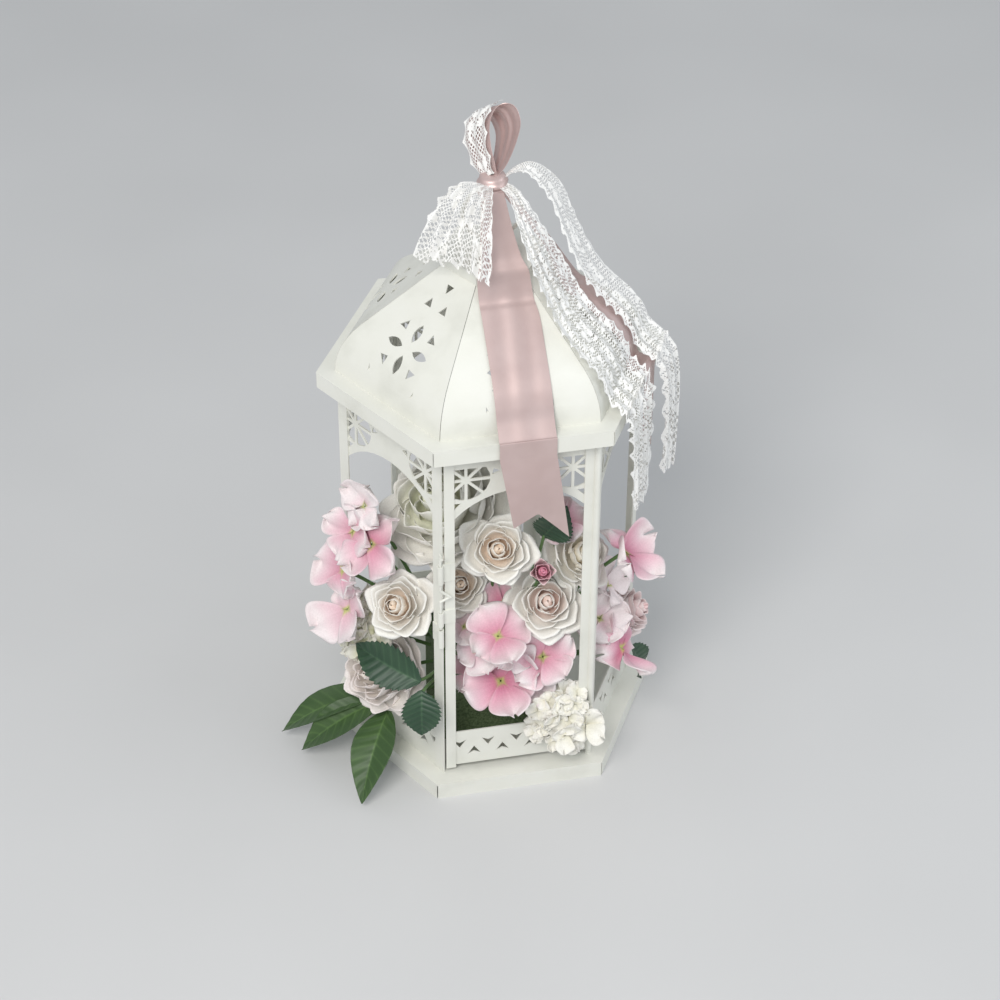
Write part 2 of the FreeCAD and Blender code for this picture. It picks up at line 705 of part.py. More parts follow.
def pleated_row(centre, across, width, height_at, thickness):
    """The upper and the lower points of one zigzag row across a strip."""
    upper = []
    lower = []
    for k in range(2 * lace_folds + 1):
        at = centre + across * (width * (k / (2 * lace_folds) - 0.5))
        lift = lace_fold if k % 2 else 0.0
        upper.append(height_at(at, lift + thickness))
        lower.append(height_at(at, lift))
    return upper, lower


def raised(point, lift):
    """A point lifted by an amount."""
    return point + UP * lift


def lace_tail(widths, offsets, rises, hang_length):
    """Lace down the right face: rows in the air off the knot, rows on the roof, then the hanging end."""
    ahead = polar(1, FACES["right"])
    across = polar(1, FACES["right"] + 90)
    leap = (lace_start_reach, lace_leap_reach, lace_land_reach)
    rows = []
    for reach, rise, width, offset in zip(leap, rises, widths, offsets):
        middle = ahead * reach + across * offset + UP * (knot_middle + rise)
        rows.append(pleated_row(middle, across, width, raised, lace_thickness))

    def lying(point, lift):
        return V(point.x, point.y, over_roof(point.x, point.y, lace_lift) + lift)

    for reach, width, offset in zip(lace_lying, widths[len(leap):], offsets[len(leap):]):
        rows.append(pleated_row(ahead * reach + across * offset, across, width, lying, lace_thickness))
    edge_reach = eave_apothem + lace_thickness
    shoulder = roof_shoulder_radius + lace_lift
    for reach in (shoulder_a + 0.9 * shoulder, shoulder_a + 0.96 * shoulder, shoulder_a + shoulder, edge_reach):
        rows.append(pleated_row(ahead * reach + across * offset, across, width, lying, lace_thickness))
    for drop in (eave_height, hang_length):
        foot = ahead * (edge_reach + lace_lift) + across * offset + UP * (eave_top - drop)
        rows.append(pleated_row(foot, across, width, lambda p, lift: p + ahead * lift, lace_thickness))
    return cloth([row[0] for row in rows], [row[1] for row in rows])


lace_start = knot_radius + ribbon_lift
parts["lace_front_tail"] = lace_tail(front_lace_widths, front_lace_offsets, front_lace_rises, front_lace_hang)
parts["lace_back_tail"] = lace_tail(back_lace_widths, back_lace_offsets, back_lace_rises, back_lace_hang)


def lace_bow():
    """The gathered loop of lace that fans out from the knot over the front left of the cap."""
    ahead = polar(1, 226)
    across = polar(1, 316)
    places = ((lace_start, knot_middle + 4, 11), (26, cap_top + 28, 34), (45, cap_top + 2, 50))
    rows = [pleated_row(ahead * reach + UP * height, across, width, raised, 2 * lace_thickness)
            for reach, height, width in places]
    return cloth([row[0] for row in rows], [row[1] for row in rows])


parts["lace_bow"] = lace_bow()


def side_tail():
    """The second satin tail, folded to a narrow strip between the two lace ends on the right."""
    outward = polar(1, FACES["right"])
    along = polar(1, FACES["right"] + 90)
    turns = [touch_bearing * share for share in (1, 0.8, 0.6, 0.42, 0.26)]
    nets = []
    for lift, beyond in ((side_tail_lift, 0.0), (side_tail_lift + ribbon_thickness, ribbon_thickness)):
        knot_row, cap_row, roof_row, foot_row = side_tail_rows
        profile = [(knot_radius + 2 * ribbon_lift, knot_middle - knot_half / 2 + beyond, *knot_row),
                   (cap_reach + 5 * ribbon_lift, cap_top + 6 + beyond, *cap_row)]
        profile += [(side_tail_landing, roof_height(side_tail_landing, lift), *roof_row),
                    (side_tail_lying, roof_height(side_tail_lying, lift), *foot_row)]
        profile += [(*shoulder_point(roof_shoulder_radius + lift, turn), *foot_row) for turn in turns]
        profile += [(roof_foot_apothem + lift, eave_top + lift, *foot_row),
                    (tail_out + beyond, eave_top + lift, *foot_row),
                    (tail_out + beyond, eave_top - side_tail_hang, *foot_row)]
        net = []
        for reach, height, offset, spread in profile:
            middle = outward * reach + along * offset + UP * height
            half = along * (side_tail_width / 2 * spread)
            net.append([middle - half, middle + half])
        nets.append(net)
    return cloth(nets[1], nets[0])


parts["satin_side_tail"] = side_tail()


# Foam block, and flowers whose stems are pushed into it
foam_corner = V(foam_centre[0] - foam_size[0] / 2, foam_centre[1] - foam_size[1] / 2, base_top)
foam = Part.makeBox(*foam_size, foam_corner)
stems = {}
heads = {}


def facing(vector, shape, place):
    """Turn a shape made along +Z to face a direction, at a place."""
    turn = FreeCAD.Rotation(UP, vector)
    shape.Placement = FreeCAD.Placement(place, turn)
    return shape


def stem(tip, root):
    """A wire stem from a flower's back to its place in the foam."""
    return bar(stem_radius, (root - tip).Length, tip, root - tip, stem_sides)


def bloom_head(diameter, depth):
    """Rose or peony head about +Z: a cup with three stepped rims of petals round a bud."""
    r, d = diameter / 2, depth
    profile = [(0.1 * r, -0.5 * d), (0.95 * r, -0.05 * d), (r, 0.08 * d), (0.74 * r, 0.06 * d),
               (0.7 * r, 0.3 * d), (0.44 * r, 0.24 * d), (0.34 * r, 0.46 * d), (0.1 * r, 0.4 * d)]
    return turned_form(profile, bloom_sides)


def floret_head(diameter):
    """Hydrangea floret about +Z: four round petals in a cross."""
    steps = 4 * arc_steps
    turns = [360 / steps * k for k in range(steps)]
    rim = [polar(diameter * (0.39 + 0.11 * math.cos(4 * math.radians(turn - 45))), turn) for turn in turns]
    return prism(rim, V(0, 0, floret_thickness))


def leaf_head(length, width):
    """A flat leaf about +Z, its foot at the origin and its tip along +X."""
    return vesica(length, width, 0).extrude(V(0, 0, leaf_thickness))


def flower(name, shape, place, direction, back, root):
    """Set a head in place with its stem, to be trimmed against its neighbours later."""
    direction = V(*direction)
    direction.normalize()
    place = V(*place)
    heads[name] = facing(direction, shape, place)
    stems[name] = stem(place - direction * back, V(*root))


to_front = (-0.1, -0.75, 0.65)
to_left = (-0.72, -0.52, 0.45)
to_right = (0.75, -0.4, 0.5)
BLOOMS = {
    "rose_front_upper": ((-11, -76, 198), to_front, 46, 26, (-12, -40, 92)),
    "rose_front_lower": ((23, -78, 147), to_front, 46, 26, (14, -45, 85)),
    "rose_front_right": ((46, -60, 178), (0.35, -0.6, 0.7), 38, 24, (18, -32, 90)),
    "rose_front_left": ((-33, -68, 152), to_front, 34, 24, (-30, -45, 90)),
    "peony_inside": ((-34, -28, 202), (-0.35, -0.4, 0.85), 66, 34, (-22, -22, 92)),
    "rose_left": ((-76, -79, 160), to_left, 46, 24, (-44, -45, 92)),
    "peony_left": ((-91, -50, 72), to_left, 54, 24, (-44, -35, 70)),
    "rose_right": ((97, -32, 90), to_right, 32, 22, (22, -30, 70)),
}
for name, (place, direction, diameter, depth, root) in BLOOMS.items():
    flower(name, bloom_head(diameter, depth), place, direction, 0.4 * depth, root)

FLORETS = {
    "hydrangea_front": (((-19, -88, 130), to_front, 40, (-22, -50, 80)),
                        ((-19, -91, 86), to_front, 48, (-20, -50, 60)),
                        ((22, -86, 98), to_front, 40, (16, -50, 62)),
                        ((14, -92, 74), to_front, 26, (10, -50, 45))),
    "hydrangea_left": (((-91, -42, 190), to_left, 42, (-44, -28, 95)),
                       ((-110, -20, 156), to_left, 40, (-46, -20, 92)),
                       ((-116, -27, 130), to_left, 42, (-46, -22, 80)),
                       ((-104, -20, 196), to_left, 34, (-44, -16, 94))),
    "hydrangea_right": (((79, -68, 98), to_right, 38, (22, -42, 66)),
                        ((82, -58, 166), to_right, 36, (22, -38, 92))),
}
for name, group in FLORETS.items():
    for k, (place, direction, diameter, root) in enumerate(group):
        flower((name, k), floret_head(diameter), place, direction, -0.2 * floret_thickness, root)
white_head = ("hydrangea_left", len(FLORETS["hydrangea_left"]))
flower(white_head, bloom_head(38, 20), (-99, -26, 108), to_left, 8, (-46, -28, 76))
BUDS = (((18, -84, 180), to_front, 13, 20, (8, -48, 92)), ((112, -14, 112), to_right, 12, 18, (22, -18, 84)))
for k, (place, direction, diameter, depth, root) in enumerate(BUDS):
    flower(("rosebuds", k), bloom_head(diameter, depth), place, direction, 0.4 * depth, root)


def leaf(name, foot, tip, width, root, tilt=0.0):
    """A leaf blade from a foot to a tip, turned about its rib, on a wire stem."""
    foot, tip = V(*foot), V(*tip)
    rib = tip - foot
    blade = leaf_head(rib.Length, width)
    turn = FreeCAD.Rotation(V(1, 0, 0), rib)
    flat = FreeCAD.Rotation(V(1, 0, 0), tilt)
    blade.Placement = FreeCAD.Placement(foot, turn.multiply(flat))
    heads[name] = blade
    stems[name] = stem(foot + rib * 0.02, V(*root))


LEAVES = {
    "rose_leaves": (((-68, -88, 98), (-108, -50, 108), 29, (-42, -50, 80), -60),
                    ((-68, -92, 94), (-70, -103, 62), 24, (-44, -50, 72), 70),
                    ((22, -66, 196), (38, -70, 222), 26, (16, -40, 92), 60),
                    ((96, -38, 60), (104, -34, 26), 20, (22, -34, 60), 30)),
    "long_leaves": (((-86, -38, 54), (-158, -20, 6), 24, (-46, -36, 56), 10),
                    ((-86, -46, 53), (-147, -42, 6), 26, (-44, -44, 54), 0),
                    ((-84, -54, 52), (-114, -104, 5), 28, (-40, -52, 52), -10)),
}
for name, group in LEAVES.items():
    for k, (foot, tip, width, root, tilt) in enumerate(group):
        leaf((name, k), foot, tip, width, root, tilt)

# Each head gives way to the stems that pass it and to the heads set before it
placed = []
finished = {}
for key, head in heads.items():
    for other, rod in stems.items():
        if other != key and head.BoundBox.intersect(rod.BoundBox):
            head = head.cut(rod)
    for earlier in placed:
        if head.BoundBox.intersect(earlier.BoundBox):
            head = head.cut(earlier)
    head = max(head.Solids, key=lambda piece: piece.Volume)
    placed.append(head)
    finished[key] = head.fuse(stems[key]).removeSplitter()
for rod in stems.values():
    foam = foam.cut(rod)
parts["foam_block"] = foam
groups = {}
for key, solid in finished.items():
    groups.setdefault(key if isinstance(key, str) else key[0], []).append(solid)
for name, solids in groups.items():
    parts[name] = solids[0] if len(solids) == 1 else Part.makeCompound([s for g in solids for s in g.Solids])


# White hydrangea head glued over the foot of the door
WHITE_LUMPS = ((30, 44, 17, 9), (16, 40, 11, 6), (38, 54, 9, 8), (24, 50, 10, 12),
               (32, 34, 10, 12), (22, 36, 8, 10))


def white_hydrangea():
    """A low mound of petals with a flat back on the door band and the hinge stile."""
    mound = []
    face_y = -body_apothem
    for u, z, radius, height in WHITE_LUMPS:
        lump = turned_form([(radius, 0), (0.6 * radius, height)], bloom_sides)
        mound.append(facing(V(0, -1, 0), lump, V(u, face_y, z)))
    return fused(mound)


parts["white_hydrangea"] = white_hydrangea()


def build():
    """Write one STEP file for each named piece."""
    os.makedirs("parts", exist_ok=True)
    triangles = 0
    for name, shape in parts.items():
        if shape.ShapeType == "Compound" and len(shape.Solids) == 1:
            shape = shape.Solids[0]
        if not shape.isValid() or not shape.Solids:
            print("invalid", name, shape.ShapeType, len(shape.Solids))
        triangles += len(shape.tessellate(0.1)[1])
        shape.exportStep("parts/" + name + ".step")
    print(len(parts), "pieces", triangles, "triangles")


build()
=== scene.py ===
import math
import bpy
import numpy as np
from mathutils import Matrix, Vector


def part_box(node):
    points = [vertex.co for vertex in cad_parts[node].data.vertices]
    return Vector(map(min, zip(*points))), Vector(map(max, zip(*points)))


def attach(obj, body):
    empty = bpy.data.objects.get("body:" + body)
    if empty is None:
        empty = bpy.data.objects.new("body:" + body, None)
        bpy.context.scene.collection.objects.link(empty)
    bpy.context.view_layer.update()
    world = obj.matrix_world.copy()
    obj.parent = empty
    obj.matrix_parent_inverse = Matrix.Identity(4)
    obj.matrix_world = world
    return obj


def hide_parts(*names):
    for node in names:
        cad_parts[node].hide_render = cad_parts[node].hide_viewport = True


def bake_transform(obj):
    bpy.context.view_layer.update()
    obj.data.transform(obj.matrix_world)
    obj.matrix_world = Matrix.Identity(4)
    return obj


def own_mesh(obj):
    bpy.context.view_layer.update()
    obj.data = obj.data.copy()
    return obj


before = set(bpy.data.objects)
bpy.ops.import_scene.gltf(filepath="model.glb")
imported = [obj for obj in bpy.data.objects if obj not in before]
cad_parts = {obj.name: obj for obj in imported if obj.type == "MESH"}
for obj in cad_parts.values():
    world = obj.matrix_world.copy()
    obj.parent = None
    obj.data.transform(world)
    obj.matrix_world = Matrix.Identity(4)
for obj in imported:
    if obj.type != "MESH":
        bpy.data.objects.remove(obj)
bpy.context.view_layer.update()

# Pierced sheet metal: trays, posts, arches, bands, door and roof panels.
# Cut and folded steel sheet, tab-fixed and spot-welded, sprayed with ivory enamel that
# has gone slightly dull, with slow waves in the sheet and a faint clouding from handling.


def new_material(name):
    """A node material; gives the material, its node tree and its Principled shader."""
    material = bpy.data.materials.new(name)
    material.use_nodes = True
    tree = material.node_tree
    return material, tree, tree.nodes["Principled BSDF"]


def noise(tree, scale, detail):
    """A noise texture on the piece's own coordinates."""
    where = tree.nodes.new("ShaderNodeTexCoord")
    cloud = tree.nodes.new("ShaderNodeTexNoise")
    cloud.inputs["Scale"].default_value = scale
    cloud.inputs["Detail"].default_value = detail
    tree.links.new(where.outputs["Object"], cloud.inputs["Vector"])
    return cloud.outputs["Fac"]


def ramp(tree, factor, stops):
    """Colours along a factor, as (place, colour) stops."""
    band = tree.nodes.new("ShaderNodeValToRGB")
    while len(band.color_ramp.elements) < len(stops):
        band.color_ramp.elements.new(0.5)
    for element, (place, colour) in zip(band.color_ramp.elements, stops):
        element.position = place
        element.color = (*colour, 1.0)
    tree.links.new(factor, band.inputs["Fac"])
    return band.outputs["Color"]


def bump(tree, shader, height, strength, distance):
    """Fine relief from a height."""
    relief = tree.nodes.new("ShaderNodeBump")
    relief.inputs["Strength"].default_value = strength
    relief.inputs["Distance"].default_value = distance
    tree.links.new(height, relief.inputs["Height"])
    tree.links.new(relief.outputs["Normal"], shader.inputs["Normal"])


def mottled(name, scale, detail, stops, roughness):
    """A material whose ground colour drifts through (place, colour) stops by a noise."""
    material, tree, shader = new_material(name)
    tree.links.new(ramp(tree, noise(tree, scale, detail), stops), shader.inputs["Base Color"])
    shader.inputs["Roughness"].default_value = roughness
    return material, tree, shader


def ivory_enamel():
    """Ivory enamel: pale ground clouded by handling, soft gloss, slow waves in the sheet."""
    ground = [(0.28, (0.72, 0.72, 0.655)), (0.46, (0.79, 0.79, 0.725)), (0.75, (0.82, 0.82, 0.765))]
    material, tree, shader = mottled("ivory_enamel", scale=34.0, detail=5.0, stops=ground, roughness=0.42)
    bump(tree, shader, noise(tree, scale=26.0, detail=2.0), strength=0.25, distance=0.002)
    return material


enamel = ivory_enamel()
SHEET_STARTS = ("base_", "eave_", "corner_post", "latch_", "hinge_", "arch_", "pierced_",
                "door_", "bolt_", "roof_", "ring_")
sheet_nodes = [node for name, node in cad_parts.items() if name.startswith(SHEET_STARTS)]
fold_angle = math.radians(32)
weld_gap = 1e-5
for node in sheet_nodes:
    node.data.materials.clear()
    node.data.materials.append(enamel)
    node.data.polygons.foreach_set("use_smooth", np.ones(len(node.data.polygons), bool))
    weld = node.modifiers.new("joined", "WELD")
    weld.merge_threshold = weld_gap
    split = node.modifiers.new("folds", "EDGE_SPLIT")
    split.split_angle = fold_angle

# Hanging ring: round drawn wire bent to a circle, painted with the lantern.
# It hangs in the lug on the cap and is made again here, rounder than the frame's mesh.


def grid_faces(rows, columns, wrap_rows=False, wrap_columns=False):
    """Quads of a grid of points numbered row by row, closed on itself where asked."""
    r = np.arange(rows if wrap_rows else rows - 1)
    c = np.arange(columns if wrap_columns else columns - 1)
    r, c = np.meshgrid(r, c, indexing="ij")
    below, beside = (r + 1) % rows, (c + 1) % columns
    corners = (r * columns + c, r * columns + beside, below * columns + beside, below * columns + c)
    return np.stack(corners, -1).reshape(-1, 4)


def piece(name, points, faces, material, tint=None):
    """A smooth mesh piece from points and quads, with a colour at each point where one is given."""
    mesh = bpy.data.meshes.new(name)
    points = np.asarray(points, float).reshape(-1, 3)
    mesh.vertices.add(len(points))
    mesh.vertices.foreach_set("co", points.astype(np.float32).ravel())
    mesh.loops.add(faces.size)
    mesh.loops.foreach_set("vertex_index", faces.astype(np.int32).ravel())
    mesh.polygons.add(len(faces))
    mesh.polygons.foreach_set("loop_start", np.arange(len(faces), dtype=np.int32) * 4)
    mesh.update(calc_edges=True)
    mesh.polygons.foreach_set("use_smooth", np.ones(len(faces), bool))
    if tint is not None:
        store = mesh.attributes.new("tint", "FLOAT_COLOR", "POINT")
        store.data.foreach_set("color", np.asarray(tint, np.float32).ravel())
    mesh.materials.append(material)
    obj = bpy.data.objects.new(name, mesh)
    bpy.context.scene.collection.objects.link(obj)
    return obj


def smooth_path(points, count):
    """Catmull-Rom curve through points, evaluated at even steps of its parameter."""
    points = np.asarray(points, float)
    padded = np.vstack([2 * points[0] - points[1], points, 2 * points[-1] - points[-2]])
    place = np.linspace(0, len(points) - 1, count)
    k = np.minimum(place.astype(int), len(points) - 2)
    f = (place - k)[:, None]
    a, b, c, d = padded[k], padded[k + 1], padded[k + 2], padded[k + 3]
    bend = (2 * a - 5 * b + 4 * c - d) * f ** 2
    twist = (3 * b - a - 3 * c + d) * f ** 3
    return 0.5 * (2 * b + (c - a) * f + bend + twist)


def tube(path, radius, sides, closed=False):
    """Round section carried along a path: each ring stands square to the path's tangent."""
    path = np.asarray(path, float)
    ahead = np.roll(path, -1, 0) - np.roll(path, 1, 0) if closed else np.gradient(path, axis=0)
    ahead /= np.linalg.norm(ahead, axis=1, keepdims=True)
    runs_along_y = np.abs(ahead[:, 1:2]) >= 0.9
    level = np.where(runs_along_y, [[1.0, 0.0, 0.0]], [[0.0, 1.0, 0.0]])
    side = np.cross(ahead, level)
    side /= np.linalg.norm(side, axis=1, keepdims=True)
    over = np.cross(side, ahead)
    turn = np.linspace(0, 2 * np.pi, sides, endpoint=False)[:, None]
    section = np.cos(turn) * side[:, None] + np.sin(turn) * over[:, None]
    return path[:, None] + radius * section


ring_low, ring_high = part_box("hanging_ring")
ring_wire = (ring_high.y - ring_low.y) / 2
ring_middle = (ring_low.z + ring_high.z) / 2
ring_reach = (ring_high.z - ring_low.z) / 2 - ring_wire
ring_steps, ring_sides = 72, 16
turns = np.linspace(0, 2 * np.pi, ring_steps, endpoint=False)
ring_line = np.stack([ring_reach * np.sin(turns), 0 * turns, ring_middle - ring_reach * np.cos(turns)], -1)
ring = piece("hanging_ring_wire", tube(ring_line, ring_wire, ring_sides, True),
             grid_faces(ring_steps, ring_sides, True, True), enamel)
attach(ring, "ring")
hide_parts("hanging_ring")

# Satin ribbon: woven polyester satin, dusty rose, one length tied round the ring.
# A knot grips the ring; a loop stands above it and two tails run down the roof.
front_low, front_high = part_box("roof_panel_front")
eave_low, eave_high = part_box("eave_tray")
roof_foot, roof_top_reach = -front_low.y, 0.02944
shoulder_radius = 0.0444
shoulder_centre = roof_foot - shoulder_radius
roof_run, roof_rise = roof_top_reach - shoulder_centre, front_high.z - eave_high.z
shoulder_turn = math.atan2(roof_rise, roof_run) - math.acos(shoulder_radius / math.hypot(roof_run, roof_rise))
roof_slope = math.pi / 2 - shoulder_turn
face_bearings = np.radians(np.arange(6) * 60 + 30)


def roof_under(x, y, lift):
    """Height of a cloth lifted off the roof: straight slope, round shoulder, then the eave ledge."""
    reach = (x[..., None] * np.cos(face_bearings) + y[..., None] * np.sin(face_bearings)).max(-1)
    radius = shoulder_radius + lift
    touch = shoulder_centre + radius * np.cos(shoulder_turn)
    straight = eave_high.z + radius * np.sin(shoulder_turn) + (touch - reach) * np.tan(roof_slope)
    across = np.clip((reach - shoulder_centre) / radius, -1, 1)
    curved = eave_high.z + radius * np.sqrt(1 - across ** 2)
    return np.maximum(np.where(reach < touch, straight, curved), eave_high.z + lift)


def satin():
    """Satin: dusty rose ground, a clear sheen under a soft coat, a fine woven grain."""
    rose = [(0.3, (0.61, 0.46, 0.44)), (0.7, (0.66, 0.51, 0.49))]
    material, tree, shader = mottled("dusty_rose_satin", scale=60.0, detail=2.0, stops=rose, roughness=0.42)
    shader.inputs["Metallic"].default_value = 0.55
    shader.inputs["Specular IOR Level"].default_value = 0.7
    shader.inputs["Coat Weight"].default_value = 0.35
    shader.inputs["Coat Roughness"].default_value = 0.40
    bump(tree, shader, noise(tree, scale=2600.0, detail=1.0), strength=0.08, distance=0.0003)
    return material


satin_cloth = satin()
satin_thickness = 0.0004
satin_columns = 25
crisp_angle = 0.7


def thin(obj, thickness):
    """Gives a cloth surface its thickness, half to each side."""
    solid = obj.modifiers.new("thickness", "SOLIDIFY")
    solid.thickness = thickness
    solid.offset = 0.0


def satin_piece(name, surface):
    """Satin on a grid of points: thin cloth whose cut edges stay crisp."""
    obj = piece(name, surface, grid_faces(*surface.shape[:2]), satin_cloth)
    thin(obj, satin_thickness)
    obj.modifiers.new("crisp_edges", "EDGE_SPLIT").split_angle = crisp_angle
    return obj


def ribbon(name, left, right, waves, folds):
    """Ribbon between two edge paths: sine folds across it that fade to nothing at edges and ends."""
    across = np.linspace(0, 1, satin_columns)[None, :, None]
    surface = left[:, None] * (1 - across) + right[:, None] * across
    normal = np.cross(np.gradient(surface, axis=0), np.gradient(surface, axis=1))
    normal /= np.linalg.norm(normal, axis=-1, keepdims=True) + 1e-12
    t = np.linspace(0, 1, len(left))[:, None, None]
    fold = np.sin(2 * np.pi * folds * across + 3 * t) * np.sin(np.pi * across) * np.sin(np.pi * t)
    return satin_piece(name, surface + normal * waves * fold)


knot_low, knot_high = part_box("satin_knot")
knot_middle = (knot_low.z + knot_high.z) / 2
knot_radius = (knot_high.x - knot_low.x) / 2
knot_height = 1.2 * (knot_high.z - knot_low.z)
knot_columns, knot_rows = 72, 40


def knot_surface():
    """Knot: a barrel with three wraps, each wrap a rounded ridge that climbs round it."""
    around = np.linspace(0, 2 * np.pi, knot_columns, endpoint=False)
    turn, up = np.meshgrid(around, np.linspace(-1, 1, knot_rows), indexing="ij")
    barrel = 1.20 * np.sqrt(np.clip(1 - 0.93 * up ** 4, 0, 1)) - 0.12
    ridge = 0.16 * np.abs(np.sin(1.5 * np.pi * up + 0.9 * np.sin(turn) + 0.5))
    crease = 0.06 * np.sin(5 * turn + 4 * up) * (1 - np.abs(up))
    radius = knot_radius * (barrel + (ridge + crease) * (1 - up ** 4))
    height = knot_middle + up * knot_height / 2 + 0.0012 * np.sin(turn + 0.6)
    return np.stack([radius * np.cos(turn), radius * np.sin(turn), height], -1)


knot = piece("satin_knot_wraps", knot_surface(), grid_faces(knot_columns, knot_rows, True, False),
             satin_cloth)
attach(knot, "ring")
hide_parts("satin_knot")

loop_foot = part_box("satin_loop")[0].z - 0.003
loop_height, loop_half = 0.0445, 0.0090
loop_gathered, loop_widening = 0.0034, 0.0112
loop_steps = 110
# The loop's own directions: to its side, up along its lean, and out towards the front.
LOOP_SIDE, LOOP_UP, LOOP_NEAR = np.array([
    (0.979, -0.205, 0.0), (0.07, 0.42, 0.905), (-0.186, -0.886, 0.425)])


def standing_loop():
    """Loop: a teardrop path leaning back, its ribbon turned so that the opening looks up to the right.
    The ribbon is narrow where the knot gathers it and widens to the top by a rounded sine."""
    outline = np.array([(0, 0), (0.45, 0.62), (0.95, 1.75), (1.15, 2.75), (0.75, 3.55), (0.0, 3.76),
                        (-0.7, 3.45), (-1.05, 2.6), (-0.85, 1.5), (-0.4, 0.55), (0, 0)])
    outline_top = outline[:, 1].max()
    line = smooth_path(loop_half * outline * (1, loop_height / loop_half / outline_top), loop_steps)
    core = np.array([0.0, 0.0, loop_foot]) + line[:, :1] * LOOP_SIDE + line[:, 1:] * LOOP_UP
    across = 0.72 * LOOP_NEAR + 0.60 * LOOP_SIDE + 0.30 * LOOP_UP
    spread = loop_gathered + loop_widening * np.sin(np.pi * np.linspace(0, 1, loop_steps)) ** 0.6
    return core - spread[:, None] * across, core + spread[:, None] * across


loop_left, loop_right = standing_loop()
loop = ribbon("satin_loop_cloth", loop_left, loop_right, waves=0.0008, folds=3)
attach(loop, "ring")
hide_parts("satin_loop")

ribbon_half = 0.019
tail_middle = 0.0025
knot_reach = 0.0095
eave_reach = -eave_low.y
eave_gap = 0.0013
satin_lift = 0.0010
bridge_share = 0.75
tail_steps, roof_steps = 150, 13


def front_tail_edges():
    """Front tail down to the eave: knot, over the cap's edge, down slope and shoulder, over the ledge.
    Past the shoulder it is drawn most of the way to a straight bridge to the ledge's edge."""
    over_cap = [(knot_reach, knot_middle - 0.001), (0.018, 0.4155), (0.0262, 0.3985), (0.0318, 0.3912),
                (0.0345, 0.3835)]
    over_ledge = [(eave_reach - 0.001, eave_high.z + satin_lift), (eave_reach + 0.0010, eave_high.z + 0.0005),
                  (eave_reach + eave_gap, eave_high.z - 0.003), (eave_reach + eave_gap, eave_low.z)]
    reach = np.linspace(0.039, roof_foot + 0.003, roof_steps)
    height = roof_under(0 * reach, -reach, satin_lift)
    leaving = math.acos((shoulder_radius + satin_lift) / (eave_reach - shoulder_centre))
    bridge = eave_high.z + satin_lift + (eave_reach - reach) / math.tan(leaving)
    drawn = (1 - bridge_share) * height + bridge_share * np.maximum(bridge, height)
    height = np.where(reach > shoulder_centre + shoulder_radius * math.cos(leaving), drawn, height)
    reach, height = np.vstack([over_cap, np.column_stack([reach, height]), over_ledge]).T
    half = np.interp(reach, [knot_reach, 0.024, 0.033, 0.05], [0.0075, 0.0125, 0.0175, ribbon_half])
    drift = np.interp(reach, [knot_reach, 0.05], [-0.0045, 0.0])
    reach, height, half, drift = smooth_path(np.stack([reach, height, half, drift], -1), tail_steps).T
    left = np.stack([tail_middle + drift - half, -reach, height], -1)
    right = np.stack([tail_middle + drift + half, -reach, height], -1)
    return left, right


tail_left, tail_right = front_tail_edges()
tail = ribbon("satin_front_tail_roof", tail_left, tail_right, waves=0.0003, folds=2)
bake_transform(tail)
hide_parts("satin_front_tail")

end_length, end_mean_length = 0.070, 0.0535
end_drift = 0.0095
end_rows = 40


def hanging_end():
    """Hanging end: falls from the eave with a slight drift, its free edge cut to a V notch."""
    drop, across = np.meshgrid(np.linspace(0, 1, end_rows), np.linspace(-1, 1, satin_columns), indexing="ij")
    fall = np.interp(across, [-1, -0.12, 1], [0.0565, 0.0475, end_length])
    x = tail_middle + across * ribbon_half + end_drift * drop
    belly = 0.0012 * np.sin(np.pi * drop) + 0.0007 * np.sin(2.2 * across + 4 * drop) * drop
    return np.stack([x, -eave_reach - eave_gap - belly, eave_low.z - fall * drop], -1)


end_cut = satin_piece("satin_front_tail_end", hanging_end())
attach(end_cut, "lantern")
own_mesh(end_cut)

right_bearing = math.radians(-30)
RIGHT_OUT = np.array([math.cos(right_bearing), math.sin(right_bearing)])
RIGHT_ALONG = np.array([-RIGHT_OUT[1], RIGHT_OUT[0]])
side_half, side_length, side_area_share = 0.012, 0.245, 0.88
side_middle, side_gap, side_lift = 0.0175, 0.0012, 0.0018
side_fall, side_slant = 0.056, 0.005
side_steps = 120


def side_tail_edges():
    """Side tail between the lace ends: knot, right roof face, over the eave, hanging free."""
    reach = np.array([knot_reach, 0.022, 0.0345, 0.050, 0.057, 0.066, 0.074, 0.081, 0.087, 0.0915, 0.0945])
    offset = np.interp(reach, [knot_reach, 0.0345, 0.050, 0.057], [-0.0025, 0.009, 0.015, side_middle])
    half = side_half * np.interp(reach, [knot_reach, 0.0345, 0.050], [0.2, 0.5, 1.0])
    edges = []
    for sign in (-1, 1):
        flat = reach[:, None] * RIGHT_OUT + (offset + sign * half)[:, None] * RIGHT_ALONG
        height = roof_under(flat[:, 0], flat[:, 1], side_lift)
        height[:3] = (knot_middle - 0.0035, 0.416, 0.3975)
        ledge = RIGHT_OUT * (eave_reach + side_gap) + RIGHT_ALONG * (side_middle + sign * side_half)
        flat = np.vstack([flat, ledge, ledge + RIGHT_OUT * 0.0006, ledge + RIGHT_OUT * 0.0008])
        fall = side_fall + side_slant * sign
        height = np.concatenate([height, [eave_high.z + 0.0015, eave_low.z, eave_low.z - fall]])
        edges.append(smooth_path(np.column_stack([flat, height]), side_steps))
    return edges


side_left, side_right = side_tail_edges()
side_cloth = ribbon("satin_side_tail_cloth", side_left, side_right, waves=0.0004, folds=2)
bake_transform(side_cloth)
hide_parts("satin_side_tail")

